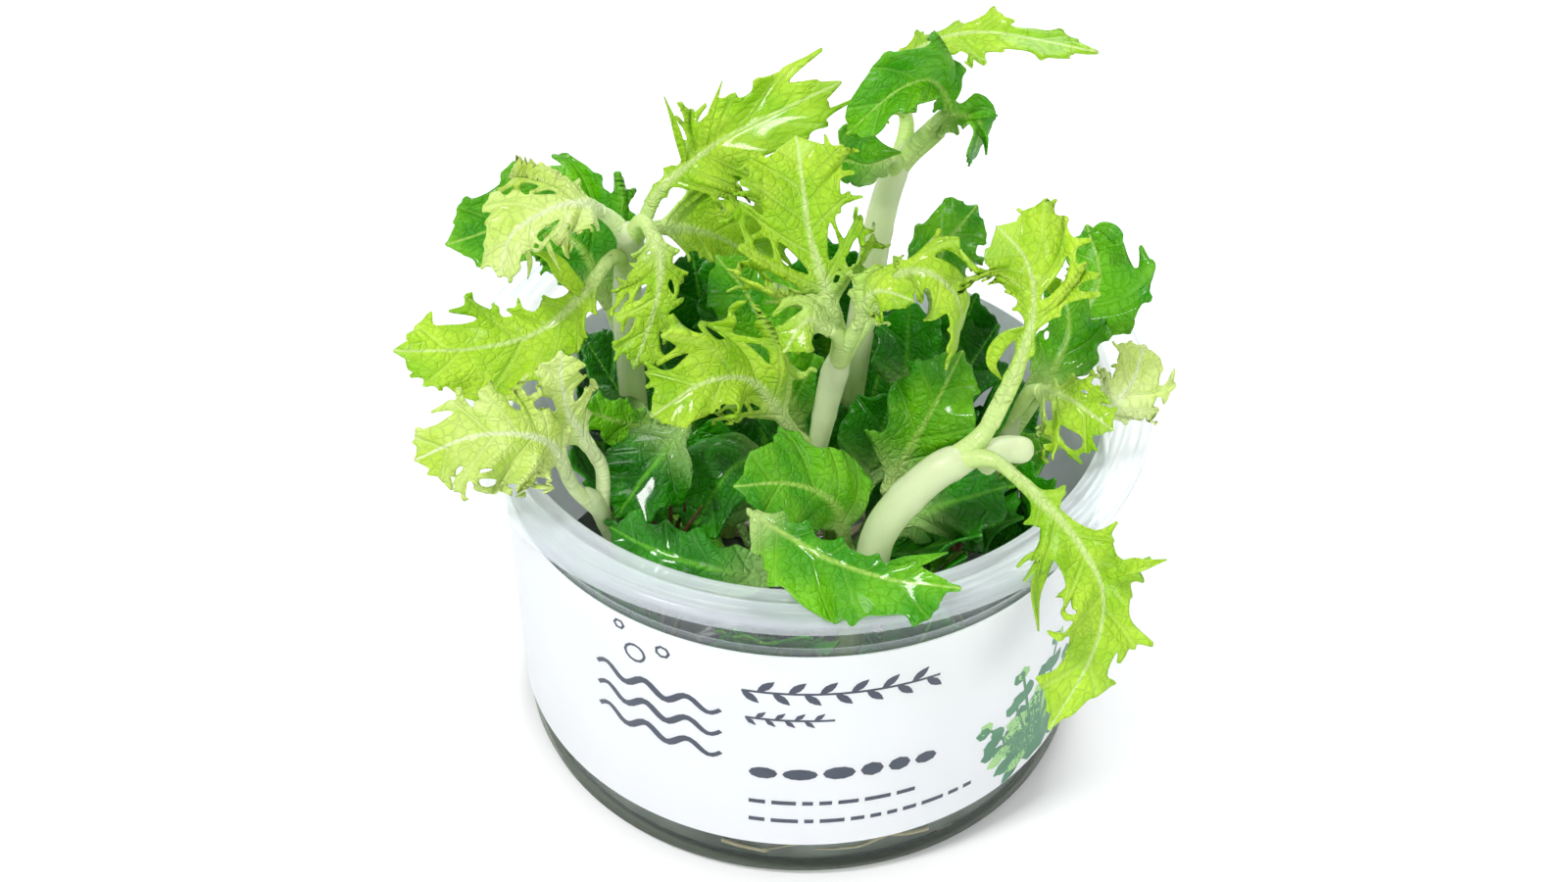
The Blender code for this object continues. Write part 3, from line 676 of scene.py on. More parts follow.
def roots():
    """Thin pale roots that wander over the gel's side, seen through the wall, and over its top."""
    lots = random.Random(11)
    strands = []
    for k in range(34):
        angle = lots.uniform(0, 2 * math.pi)
        height = lots.uniform(3, 11)
        turn = lots.choice((-1, 1)) * lots.uniform(0.012, 0.03)
        climb = lots.uniform(-0.25, 0.25)
        points = []
        for step in range(26):
            angle += turn
            climb += lots.uniform(-0.16, 0.16)
            height = min(max(height + climb * 0.5, 2.6), 12.4)
            radius = wall_radius(height) - WALL - CLEARANCE + 0.03
            if height < 4:
                radius -= 0.5
            points.append((radius * math.cos(angle), radius * math.sin(angle), height))
        strands.append(tube(points, np.linspace(0.34, 0.1, 26)))
    for name, path, _ in STEMS:
        for k in range(6):
            x, y = path[0][0], path[0][1]
            angle = lots.uniform(0, 2 * math.pi)
            points = []
            for step in range(14):
                angle += lots.uniform(-0.5, 0.5)
                x += 1.3 * math.cos(angle)
                y += 1.3 * math.sin(angle)
                shrink = min(1.0, 38 / max(math.hypot(x, y), 1))
                x, y = x * shrink, y * shrink
                points.append((x, y, GEL_TOP - 0.5 + 0.7 * math.sin(step)))
            strands.append(tube(points, np.linspace(0.45, 0.15, 14)))
    keep(joined(strands), "root_threads", ROOT, "culture_gel")

    # A few aged roots that stand up between the leaves
    aged = []
    for foot in ((-17, -19, 40), (-19, -20, 42), (22, -17, 42), (8, 20, 30)):
        for k in range(3):
            x, y, z = foot
            lean = lots.uniform(-0.5, 0.5)
            points = []
            for step in range(14):
                lean += lots.uniform(-0.35, 0.35)
                x, y, z = x + 0.7 * math.sin(lean), y + 0.3 * math.cos(3 * lean), z + 0.8
                points.append((x, y, z))
            aged.append(tube(points, np.linspace(0.6, 0.15, 14)))
    keep(joined(aged), "aged_roots", OLD_ROOT, "culture_gel")


# Leaves
# What sets the four ages apart, in shares of the lobe or of the width, and in millimetres
STYLE = {
    "pale": dict(slim=0.36, teeth=3, tooth=0.40, blunt=0.26, lean=0.75, curl=0.12, wave=0.42, lift=0.9,
                 rib=1.0, blend=0.30, spread=(0.60, 1.18)),
    "young": dict(slim=0.34, teeth=2, tooth=0.44, blunt=0.24, lean=0.85, curl=0.10, wave=0.36, lift=0.85,
                  rib=1.0, blend=0.30, spread=(0.60, 1.20)),
    "mid": dict(slim=0.46, teeth=2, tooth=0.20, blunt=0.38, lean=0.85, curl=0.10, wave=0.22, lift=0.6,
                rib=0.8, blend=0.38, spread=(0.66, 1.12)),
    "old": dict(slim=0.58, teeth=1, tooth=0.10, blunt=0.60, lean=0.75, curl=0.08, wave=0.16, lift=0.45,
                rib=0.7, blend=0.50, spread=(0.80, 1.08)),
}
SPRING_BELOW = 8.0
SPRING_REACH = 9.5


def taper(x, y, start, end, wide, narrow, belly):
    """Distance in millimetres to a finger from start to end, under 0 inside it."""
    run = np.subtract(end, start)
    length = np.hypot(*run)
    t = np.clip(((x - start[0]) * run[0] + (y - start[1]) * run[1]) / length ** 2, 0, 1)
    off = np.hypot(x - start[0] - run[0] * t, y - start[1] - run[1] * t)
    return off - (narrow + (wide - narrow) * (1 - t ** belly))


def vein_maps(piece, phase, across, x, y):
    """The two UV maps that the leaf finishes read, from one value a vertex."""
    loops = np.empty(len(piece.data.loops), int)
    piece.data.loops.foreach_get("vertex_index", loops)
    for layer, first, second in (("veins", phase, across), ("blade", x / 10, y / 10)):
        uv = piece.data.uv_layers.new(name=layer)
        uv.data.foreach_set("uv", np.column_stack([first[loops], second[loops]]).ravel())
    for extra in [l for l in piece.data.uv_layers if l.name not in ("veins", "blade")]:
        piece.data.uv_layers.remove(extra)


def vertices_of(piece):
    co = np.empty(len(piece.data.vertices) * 3)
    piece.data.vertices.foreach_get("co", co)
    return co.reshape(-1, 3)


def leaf_stalk(path, radius, springs):
    """The round stalk from the stem to the blade, which runs on as the raised midrib."""
    start = np.array(path[0], float)
    along_blade = run_along(path, np.linspace(0, 0.45, 26))
    ahead = along_blade[1] - along_blade[0]
    ahead /= np.linalg.norm(ahead)
    radii = 0.85 * radius * (1 - np.linspace(0, 1, 26) ** 0.6) + 0.12
    best = None
    for _, stem_path, stem_radii in STEMS if springs else []:
        s = np.linspace(0.0, 1, 120)
        run = run_along(stem_path, s)
        away = np.linalg.norm(run - start, axis=1)
        k = int(away.argmin())
        if away[k] < SPRING_REACH and (best is None or away[k] < best[0]):
            so_far = length_of(run)
            back = int(np.searchsorted(so_far, max(so_far[k] - SPRING_BELOW, 0)))
            back = min(max(back, 1), 118)
            up = run[back + 1] - run[back - 1]
            stem_radius = float(np.interp(s[back], np.linspace(0, 1, len(stem_radii)), stem_radii))
            best = (away[k], run[back], up / np.linalg.norm(up), stem_radius)
    points = along_blade
    if best:
        _, foot, up, stem_radius = best
        reach = np.linalg.norm(start - foot)
        t = np.linspace(0, 1, 16)[:-1, None]
        hermite = ((2 * t ** 3 - 3 * t ** 2 + 1) * foot + (t ** 3 - 2 * t ** 2 + t) * up * reach * 1.3
                   + (3 * t ** 2 - 2 * t ** 3) * start + (t ** 3 - t ** 2) * ahead * reach)
        points = np.vstack([hermite, along_blade])
        radii = np.concatenate([np.linspace(max(0.82 * stem_radius, radius), radii[0], 15), radii])
    piece = tube(points, radii)
    so_far = length_of(points) - (length_of(points)[len(points) - 26])
    co = vertices_of(piece) / MM
    nearest = np.array([int(np.square(points - v).sum(axis=1).argmin()) for v in co])
    zeros = np.zeros(len(co))
    vein_maps(piece, zeros, zeros, so_far[nearest], zeros)
    return piece


def slip(points, half, face):
    """A narrow free lobe, a few cells wide, with a crease along its middle."""
    clear_selection()
    bpy.ops.mesh.primitive_grid_add(x_subdivisions=24, y_subdivisions=6, size=1.0)
    piece = bpy.context.object
    co = vertices_of(piece)
    s, t = co[:, 0] + 0.5, co[:, 1] * 2
    length = length_of(run_along(points, np.linspace(0, 1, 20)))[-1]
    width = half * (0.5 + 0.5 * np.sin(math.pi * s)) * np.clip((1.02 - s) / 0.5, 0.05, 1) ** 0.8
    ahead = run_along(points, s + 0.03) - run_along(points, s - 0.03)
    across = np.cross(ahead, np.array(face, float))
    across /= np.linalg.norm(across, axis=1)[:, None]
    up = np.cross(across, ahead)
    up /= np.linalg.norm(up, axis=1)[:, None]
    place = (run_along(points, s) + across * (width * t)[:, None]
             + up * (0.35 * width * np.abs(t) ** 1.5)[:, None])
    piece.data.vertices.foreach_set("co", (place * MM).ravel())
    vein_maps(piece, np.full(len(co), 0.5), np.full(len(co), 3.0), s * length + 16, t * half)
    body = piece.modifiers.new("body", "SOLIDIFY")
    body.thickness = BLADE_THICKNESS * MM
    body.offset = 0.0
    pick(piece)
    bpy.ops.object.modifier_apply(modifier="body")
    bpy.ops.object.shade_smooth()
    return piece


def one_patch(kept, seed):
    """Of the kept cells of a grid, those that hang together with the seed. Where two of them touch
    at a corner only, the cell between them is kept as well."""
    patch = kept & seed
    count = 0
    while patch.sum() > count:
        count = patch.sum()
        near = patch.copy()
        near[1:] |= patch[:-1]
        near[:-1] |= patch[1:]
        near[:, 1:] |= patch[:, :-1]
        near[:, :-1] |= patch[:, 1:]
        patch = near & kept
    count = 0
    while patch.sum() > count:
        count = patch.sum()
        a, b, c, d = patch[:-1, :-1], patch[1:, 1:], patch[1:, :-1], patch[:-1, 1:]
        rising, falling = a & b & ~c & ~d, c & d & ~a & ~b
        patch[1:, :-1] |= rising
        patch[:-1, :-1] |= falling
    return patch


def leaf(name, age, path, half, face=FRONT_UP, face_end=None, lobes=4, notch=0.45,
         fold=14, ruffle=0.17, widest=0.45, stalk=0.14, sweep=0.35, tint=None, stalk_half=1.0,
         bare=0.0, waist=1.0, holes=(), slips=(), springs=True):
    """One lobed blade on its stalk, in place of the CAD leaf of the same run, width and lobes.
    bare is the share of its length over which only the midrib and free lobes are left, and waist
    is what is left of their reach there. A hole runs from one place on the blade to another."""
    tint = tint or age.split("_")[0]
    style = STYLE[tint]
    lots = random.Random(zlib.crc32(name.encode()))
    face_end = face_end or face
    half = (half[0] * FULLER, half[1] * FULLER)
    fullness = math.log(0.5) / math.log(widest)
    length = length_of(run_along(path, np.linspace(0, 1, 21)))[-1]
    spacing = (1 - stalk) / (lobes + 0.4)
    gap = spacing * length
    lean = style["lean"]

    # The tips of the lobes on each side, and where their veins leave the midrib
    sides = {}
    for side, width in ((-1, half[0]), (1, half[1])):
        tips, feet = [], []
        for k in range(lobes):
            s = stalk + spacing * (k + 0.62)
            swell = math.sin(math.pi * ((s - stalk) / (1 - stalk)) ** fullness) ** 0.6
            reach = max(width * swell, 0.9) * lots.uniform(*style["spread"])
            if s < bare:
                reach *= waist
            forward = min(sweep * reach, 0.25 * gap) + lots.uniform(-0.14, 0.14) * gap
            tips.append((s * length + forward, reach))
            feet.append(s * length + forward - lean * reach)
        order = np.maximum.accumulate(np.array(feet) + np.arange(lobes) * 0.01)
        sides[side] = (tips, order, width)

    fingers = {-1: [], 1: []}
    for side in (-1, 1):
        tips, feet, width = sides[side]
        for k, ((tip_x, reach), foot) in enumerate(zip(tips, feet)):
            run = math.hypot(tip_x - foot, reach)
            # The lobes near the stalk are long and narrow, those near the tip broad and short
            wide = style["slim"] * gap * (reach / run) * lots.uniform(0.75, 1.2) * (0.7 + 0.5 * k / lobes)
            fingers[side].append(((foot, 0.0), (tip_x, reach), wide, style["blunt"], 1.8))
            aim = math.atan2(reach, tip_x - foot)
            teeth = style["teeth"] + (1 if reach > 6 else 0)
            for m in range(teeth):
                share = 0.42 + 0.5 * (m + lots.uniform(0.1, 0.9)) / teeth
                hand = 1 if (m + k) % 2 else -1
                swing = hand * lots.uniform(0.5, 1.0)
                root = (foot + (tip_x - foot) * share, reach * share)
                long = style["tooth"] * reach * lots.uniform(0.5, 1.3) + wide * (1.15 - 0.7 * share)
                end = (root[0] + long * math.cos(aim + swing), root[1] + long * math.sin(aim + swing))
                fingers[side].append((root, end, 0.5 * wide, style["blunt"] * 0.8, 1.2))
    last = length * (1 - spacing * 0.9)
    end_width = 0.5 * min(half)
    uneven = [(lots.uniform(1.0, 2.2), lots.uniform(0, 6)) for _ in range(2)]

    def outline(px, py):
        s = px / length
        u = np.clip((s - stalk) / (1 - stalk), 0, 1)
        swell = np.sin(np.pi * u ** fullness) ** 0.6
        clothed = np.clip((s - bare) / 0.1, 0, 1) if bare else 1.0
        found = []
        for side in (-1, 1):
            on_side = np.where(py * side >= 0, 0.0, 50.0)
            width = sides[side][2]
            turns, start = uneven[(side + 1) // 2]
            patchy = 1 + 0.14 * np.sin(2 * np.pi * turns * u + start)
            web = 1 - notch * (1.45 - 0.9 * u)
            core = (np.abs(py) - np.maximum(width * web * swell * patchy * clothed, 0.7)) * 0.85
            core = np.where((s > stalk * 0.8) & (s < 0.96), core, np.maximum(core, 3.0))
            found.append(core + on_side)
            for start, end, wide, narrow, belly in fingers[side]:
                found.append(taper(px, py * side, start, end, wide, narrow, belly) + on_side * 0.02)
        found.append(taper(px, py, (last, 0), (length, 0), end_width, style["blunt"], 1.4))
        found.append(taper(px, py, (0, 0), (length * (stalk + 0.25), 0), stalk_half, 0.4, 2.0))
        found = np.array(found)
        blend = style["blend"]
        edge = -blend * np.log(np.exp(-np.clip(found, -8, 30) / blend).sum(axis=0))
        for start, end, wide in holes:
            edge = np.maximum(edge, -taper(px, py, start, end, wide, 0.4 * wide, 2.0))
        return edge

    # A grid is cut to the outline and its border is pulled on to it
    margin = 1.2
    low, high = -margin, length + margin + 1.5
    left, right = -half[0] * 1.15 - margin, half[1] * 1.15 + margin
    columns, rows = int((high - low) / CELL), int((right - left) / CELL)
    clear_selection()
    bpy.ops.mesh.primitive_grid_add(x_subdivisions=columns, y_subdivisions=rows, size=1.0)
    piece = bpy.context.object
    centre = np.empty(len(piece.data.polygons) * 3)
    piece.data.polygons.foreach_get("center", centre)
    centre = centre.reshape(-1, 3)
    cell = ((centre[:, 0] + 0.5) * columns).astype(int), ((centre[:, 1] + 0.5) * rows).astype(int)
    cell_x = low + (centre[:, 0] + 0.5) * (high - low)
    cell_y = left + (centre[:, 1] + 0.5) * (right - left)
    kept, seed = np.zeros((columns, rows), bool), np.zeros((columns, rows), bool)
    kept[cell] = outline(cell_x, cell_y) <= 0
    seed[cell] = np.abs(cell_y) < CELL
    outside = ~one_patch(kept, seed)[cell]
    bpy.ops.object.mode_set(mode="EDIT")
    bpy.ops.mesh.select_mode(type="FACE")
    bpy.ops.mesh.select_all(action="DESELECT")
    bpy.ops.object.mode_set(mode="OBJECT")
    piece.data.polygons.foreach_set("select", outside)
    bpy.ops.object.mode_set(mode="EDIT")
    bpy.ops.mesh.delete(type="FACE")
    bpy.ops.mesh.select_all(action="DESELECT")
    bpy.ops.mesh.select_mode(type="EDGE")
    bpy.ops.mesh.select_non_manifold(extend=False, use_wire=True, use_boundary=True,
                                     use_multi_face=False, use_non_contiguous=False, use_verts=False)
    bpy.ops.mesh.select_mode(type="VERT")
    bpy.ops.object.mode_set(mode="OBJECT")

    co = vertices_of(piece)
    count = len(co)
    border = np.empty(count, bool)
    piece.data.vertices.foreach_get("select", border)
    x = low + (co[:, 0] + 0.5) * (high - low)
    y = left + (co[:, 1] + 0.5) * (right - left)
    bx, by = x[border], y[border]
    start_x, start_y = bx.copy(), by.copy()
    for _ in range(3):
        here = outline(bx, by)
        gx = (outline(bx + 0.02, by) - outline(bx - 0.02, by)) / 0.04
        gy = (outline(bx, by + 0.02) - outline(bx, by - 0.02)) / 0.04
        size = np.maximum(gx ** 2 + gy ** 2, 0.2)
        bx = bx - here * gx / size
        by = by - here * gy / size
        far = np.hypot(bx - start_x, by - start_y)
        pull = np.minimum(1, CELL * 0.8 / np.maximum(far, 1e-6))
        bx, by = start_x + (bx - start_x) * pull, start_y + (by - start_y) * pull
    x[border], y[border] = bx, by

    # Phase of the side veins: a whole number on each. Each lobe has its own lift.
    side_of = np.where(y >= 0, 1, -1)
    phase = np.zeros(count)
    lift = np.zeros(count)
    width = np.where(y >= 0, half[1], half[0])
    for side in (-1, 1):
        feet = sides[side][1]
        knots = np.concatenate([[feet[0] - gap], feet, [feet[-1] + gap]])
        mine = side_of == side
        phase[mine] = np.interp(x[mine] - lean * np.abs(y[mine]), knots, np.arange(-1, lobes + 1))
        lifts = [lots.uniform(-1, 0.8) for _ in range(lobes + 2)]
        lift[mine] = np.interp(phase[mine], np.arange(-1, lobes + 1), lifts)

    # Along the run: the middle, the way ahead, the way across and the way up
    s = np.linspace(0, 1, STATIONS)
    middle = run_along(path, s)
    ahead = run_along(path, s + 0.02) - run_along(path, s - 0.02)
    ahead[0] = run_along(path, 0.04)[0] - run_along(path, 0.0)[0]
    ahead /= np.linalg.norm(ahead, axis=1)[:, None]
    up = np.array(face) + (np.array(face_end) - np.array(face)) * s[:, None]
    across = np.cross(ahead, up)
    across /= np.linalg.norm(across, axis=1)[:, None]
    up = np.cross(across, ahead)
    turn = np.gradient(ahead, axis=0) / (length / (STATIONS - 1))
    bend = np.convolve(np.pad((turn * across).sum(axis=1), 4, mode="edge"), np.ones(9) / 9, "valid")

    at = np.clip(x / length, 0, 1) * (STATIONS - 1)
    k = np.minimum(at.astype(int), STATIONS - 2)
    t = (at - k)[:, None]
    mix = lambda rows: rows[k] * (1 - t) + rows[k + 1] * t
    here_ahead, here_across, here_up = mix(ahead), mix(across), mix(up)
    here_bend = bend[k] * side_of
    limit = np.where(here_bend > 0.01, 1 / np.maximum(here_bend, 0.01), 1e3)
    reach = limit * (1 - np.exp(-np.abs(y) / limit))
    past = x - np.clip(x, 0, length)

    edge = np.clip(np.abs(y) / width, 0, 1.1)
    seed = lots.uniform(0, 6)
    swing = -ruffle * y * np.cos(np.pi * phase)
    rise = (reach * math.sin(math.radians(fold)) + swing
            + style["wave"] * width * 0.35 * edge ** 2 * np.sin(2 * np.pi * 1.5 * phase + seed)
            + style["lift"] * lift * width * 0.5 * edge ** 2
            - style["curl"] * width * edge ** 2.5
            - 0.2 * np.cos(2 * np.pi * phase) * np.sin(np.pi * np.minimum(edge, 1)))
    run = reach * math.cos(math.radians(fold)) * side_of
    place = mix(middle) + here_across * run[:, None] + here_up * rise[:, None] + here_ahead * past[:, None]
    piece.data.vertices.foreach_set("co", (place * MM).ravel())

    rib_half = np.interp(x / length, [0, stalk, 0.5, 1], [stalk_half, 0.8 * stalk_half, 0.36, 0.14])
    vein_maps(piece, phase, y / rib_half, x, y)

    # Thick along the stalk and the midrib, thin in the blade
    thickest = style["rib"]
    ridge = np.interp(x / length, [0, stalk, 0.6, 1], [thickest, thickest * 0.8, 0.35, 0.05])
    thick = BLADE_THICKNESS + ridge * np.exp(-(y / (rib_half * 1.1)) ** 2)
    group = piece.vertex_groups.new(name="thick")
    full = float(thick.max())
    for i in range(count):
        group.add([i], float(thick[i] / full), "REPLACE")
    body = piece.modifiers.new("body", "SOLIDIFY")
    body.thickness = full * MM
    body.offset = -0.3
    body.vertex_group = "thick"
    pick(piece)
    bpy.ops.object.modifier_apply(modifier="body")
    bpy.ops.object.shade_smooth()

    parts = [piece, leaf_stalk(path, stalk_half, springs)]
    parts += [slip(points, slip_half, face) for points, slip_half in slips]
    piece = joined(parts)
    nodes = [name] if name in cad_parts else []
    keep(piece, name[5:] + "_blade", LEAVES[tint], SLOT[tint], *nodes)


def tall_stem_leaves():
    leaf("leaf_tall_top", "young_leaf", [(13, 19, 94), (11, 18, 99), (15, 16, 106), (23, 13, 110.5),
         (38, 8, 111)], (3.2, 6.6), (-0.6, -0.3, 0.6), (0.1, -0.3, 0.95), lobes=6, notch=0.55, widest=0.33)
    leaf("leaf_tall_curled", "old_leaf", [(17, 14, 95), (18.5, 11, 100), (16, 8, 106), (11, 5, 106),
         (5, 4, 100)], (4.8, 5.4), lobes=4, notch=0.2, stalk=0.3, fold=38, tint="mid",
         slips=[([(4.5, 6, 100), (6, 7, 96.5), (9, 8, 94.5), (12.5, 8.5, 94)], 2.2)])
    leaf("leaf_tall_right", "mid_leaf", [(18, 15, 93), (20, 13, 97), (23, 10, 98), (22, 9, 92)],
         (2.6, 2.6), (-0.8, -0.4, 0.5), (0.9, -0.4, 0.0), lobes=3,
         slips=[([(22.5, 10, 98), (24, 9, 96.5), (24.3, 9, 93.5)], 0.7),
                ([(22, 10, 99), (24, 9.5, 100), (25.5, 9, 100)], 0.6)])
    leaf("leaf_tall_left", "mid_leaf", [(11, 13, 90), (8, 10, 91), (3, 8, 93)], (2.8, 2.4), lobes=3)


def left_stem_leaves():
    leaf("leaf_left_up", "young_leaf", [(-23, 7, 83), (-21, 8, 87), (-16, 10, 91), (-11, 12, 94),
         (4, 15, 101)], (5.2, 8.4), lobes=6, notch=0.45, stalk=0.16, widest=0.7, bare=0.38,
         waist=0.5,
         slips=[([(-17.3, 10, 89.5), (-17.8, 9.5, 93), (-18.8, 9, 98), (-20, 9, 102)], 0.5),
                ([(-14.9, 11, 91.5), (-14.5, 11, 95), (-13.3, 10.5, 100), (-12.2, 10, 104)], 0.45),
                ([(-13, 11, 92), (-9.5, 9.5, 89.5), (-6.4, 8, 88.8)], 1.3)])
    leaf("leaf_left_arch", "young_leaf", [(-29, 3, 87), (-31, 1, 89.5), (-35, -1, 90), (-40, -4, 88),
         (-42, -7, 83)], (6.0, 6.5), (0, -0.5, 0.85), (-0.5, -0.6, 0.5), lobes=5, notch=0.62, tint="pale",
         slips=[([(-36, -3, 87.5), (-35.2, -4, 85.4), (-33.9, -5, 82.7)], 0.35),
                ([(-38.5, -4, 86.5), (-38, -5, 84), (-38.4, -5.5, 81.5)], 0.35)])
    leaf("leaf_left_behind", "mid_leaf", [(-29, 10, 65), (-33, 14, 72), (-40, 15, 76), (-52, 12, 74)],
         (9.0, 10.0), (0.3, -0.7, 0.5), (-0.1, -0.6, 0.8), lobes=5, notch=0.25, widest=0.4)
    leaf("leaf_left_long", "young_leaf", [(-28, 2, 79), (-32, 0, 74), (-38, -3, 70), (-47, -7, 70),
         (-57, -10, 72)], (9.5, 6.0), (0, -0.6, 0.8), lobes=5, notch=0.4, widest=0.62, stalk=0.12,
         slips=[([(-31, 0.5, 74), (-33.5, 0, 77.5), (-35.5, -1, 81.5), (-37.7, -2, 83.6)], 1.3)])
    leaf("leaf_left_front", "young_leaf", [(-22, 0.5, 86), (-20.5, -2.5, 84.5), (-20.5, -5, 80),
         (-22, -7, 74.5), (-24, -9, 69)], (3.8, 6.0), (0.2, -0.4, 1), (0.2, -0.9, 0.2), lobes=5,
         notch=0.68, fold=8, ruffle=0.08)
    leaf("leaf_left_inner", "young_leaf", [(-23, 9, 80), (-17, 14, 76), (-11, 16, 72), (-5, 15, 66)],
         (7.5, 6.5), lobes=4, notch=0.35)
    leaf("leaf_left_strip", "old_leaf", [(-19, -4, 53), (-26, -8, 58), (-32, -12, 64)], (2.4, 2.8),
         lobes=3, notch=0.25, tint="mid")
    leaf("leaf_left_round", "old_leaf", [(-22, -1, 52), (-27, 0, 53), (-33, 1, 54)], (3.4, 3.4),
         UP, lobes=2, notch=0.1)


def far_left_stem_leaves():
    leaf("leaf_far_left_low", "young_leaf", [(-32, -24, 61), (-34, -25, 68), (-38, -27, 72),
         (-45, -28, 72), (-52, -28, 68)], (7.5, 5.5), (0.3, -0.6, 0.7), lobes=6, notch=0.45, tint="pale",
         ruffle=0.2)
    leaf("leaf_far_left_up", "young_leaf", [(-28.5, -19.5, 61), (-32, -19, 68), (-33, -19, 74),
         (-33, -18, 79)], (4.0, 4.0), (0.3, -0.6, 0.6), lobes=4, notch=0.62, tint="pale")


def centre_stem_leaves():
    leaf("leaf_centre_tall", "young_leaf", [(4, -7, 77), (2, -6, 83), (0, -3, 89), (-1, 0, 95),
         (-2, 3, 100)], (10.5, 8.8), lobes=6, notch=0.62, widest=0.5)
    leaf("leaf_centre_low", "young_leaf", [(3, -12, 79), (0, -14, 82), (-3, -17, 79)], (3.0, 3.2),
         lobes=3, notch=0.5)
    leaf("leaf_centre_right", "young_leaf", [(9, -8, 79), (12, -8, 85), (17, -9.5, 86.5),
         (20.5, -12, 82.5), (19, -15, 75)], (5.5, 5.5), (-0.9, -0.1, 0.5), (0.9, -0.2, 0.0),
         lobes=4, notch=0.5, fold=6, ruffle=0.06)
    leaf("leaf_centre_frilly", "young_leaf", [(7, -12, 80), (9, -14, 87), (14, -17, 88)], (4.0, 4.0),
         (-0.5, -0.6, 0.6), (0.2, -0.5, 0.85), lobes=4, notch=0.6, ruffle=0.2)
    leaf("leaf_centre_dark", "old_leaf", [(0, -2, 48), (-3, 1, 59), (-8, 5, 70), (-13, 9, 75)],
         (6.5, 6.5), lobes=3, notch=0.12, tint="mid")
    leaf("leaf_inner_ruffled", "mid_leaf", [(-2, -10, 59), (-7, -12, 69), (-13, -15, 72),
         (-21, -18, 68)], (7.0, 7.5), lobes=5, notch=0.45, ruffle=0.3, tint="young")
    leaf("leaf_inner_front", "old_leaf", [(-4, -9, 52), (-10, -13, 54), (-16, -20, 47)], (6.0, 6.0),
         (0, -0.2, 1), (-0.5, -0.7, 0.5), lobes=3, notch=0.15)
    leaf("leaf_inner_left", "old_leaf", [(-17, -12, 60), (-21, -17, 58), (-26, -22, 53)], (6.0, 6.0),
         lobes=3, notch=0.15)
    leaf("leaf_inner_right", "old_leaf", [(12, -11, 49), (17, -8, 59), (22, -3, 68)], (6.5, 6.5),
         lobes=3, notch=0.15, tint="mid")
    leaf("leaf_inner_round", "old_leaf", [(9, -5, 43), (11, -2, 51), (13, 0, 58)], (5.6, 5.6),
         lobes=2, notch=0.1)
    leaf("leaf_inner_glossy", "old_leaf", [(15, 8, 49), (15, 11, 56), (15, 14, 64)], (4.6, 4.6),
         lobes=2, notch=0.1)
    leaf("leaf_inner_low_left", "old_leaf", [(-6, -2, 36), (-13, -5, 45), (-20, -8, 47)], (7.0, 7.0),
         lobes=3, notch=0.15)
    leaf("leaf_inner_low_right", "old_leaf", [(14, -9, 38), (20, -13, 46), (27, -16, 47)], (5.0, 5.0),
         (-0.5, -0.5, 0.7), (0, -0.4, 0.9), lobes=3, notch=0.15)
    leaf("leaf_inner_low_back", "old_leaf", [(1, 3, 34), (0, 8, 44), (-1, 14, 52)], (6.5, 6.5),
         lobes=3, notch=0.15)
    leaf("leaf_inner_back", "old_leaf", [(-6, 15, 46), (-9, 20, 56), (-11, 24, 66)], (7.0, 7.0),
         lobes=3, notch=0.15)


def right_stem_leaves():
    leaf("leaf_right_up", "young_leaf", [(25, -22.5, 72), (28, -20, 79), (30, -16, 86), (29, -12, 91),
         (25, -9, 94.5)], (8.5, 8.8), lobes=6, notch=0.5, widest=0.8, stalk=0.14, bare=0.6, waist=0.62, stalk_half=1.3,
         holes=[((9.5, -2.6), (12.5, -3.0), 0.9), ((5.0, -2.3), (7.0, -2.9), 0.7),
                ((6.0, 2.3), (8.0, 2.9), 0.6)],
         slips=[([(30, -16, 83), (26.5, -16, 81), (25, -16.5, 77.5), (26.5, -18, 75.5)], 1.0),
                ([(31, -12, 89), (33.5, -13, 87.5), (35.3, -14.5, 89.5)], 1.2)])
    leaf("leaf_right_hanging", "young_leaf", [(26.5, -28, 69), (31, -34, 68.5), (36, -41, 67),
         (39, -46, 63), (38, -50, 56), (33, -54, 46)], (5.0, 8.0), (0.4, -0.5, 0.8),
         (0.2, -0.95, 0.3), lobes=5, notch=0.45, widest=0.56,
         slips=[([(34, -37, 66), (32.3, -38, 62), (31.2, -39.5, 57), (32, -41, 51)], 1.1),
                ([(39.5, -46, 66.5), (41.5, -47, 69), (43.5, -48, 70.5), (46.3, -48, 71.5)], 1.0)])
    leaf("leaf_front_broad", "mid_leaf", [(6, -22.5, 49), (4, -26, 60), (-2, -29, 66), (-9, -32, 68)],
         (7.5, 6.8), lobes=4, notch=0.12)
    leaf("leaf_front_overhang", "mid_leaf", [(-7, -37, 68), (-2, -41, 67.5), (4, -45, 67),
         (11, -48, 67), (20, -50.5, 68)], (2.4, 8.0), (0, -0.5, 0.85), lobes=5, notch=0.25, springs=False,
         stalk=0.03, stalk_half=0.45,
         slips=[([(8, -47, 66.5), (11.5, -46.5, 67.5), (15.2, -47, 69.5), (18.4, -48, 72)], 1.0)])
    leaf("leaf_front_wall", "old_leaf", [(-3, -32, 51), (-13, -34, 55), (-20, -32, 56), (-26, -28, 56)],
         (4.0, 4.0), lobes=4, notch=0.2, springs=False, stalk=0.04, stalk_half=0.5)
    leaf("leaf_under_right", "old_leaf", [(14, -20, 51), (21, -20, 55), (28, -19, 57)], (5.5, 5.5),
         lobes=3, notch=0.2)


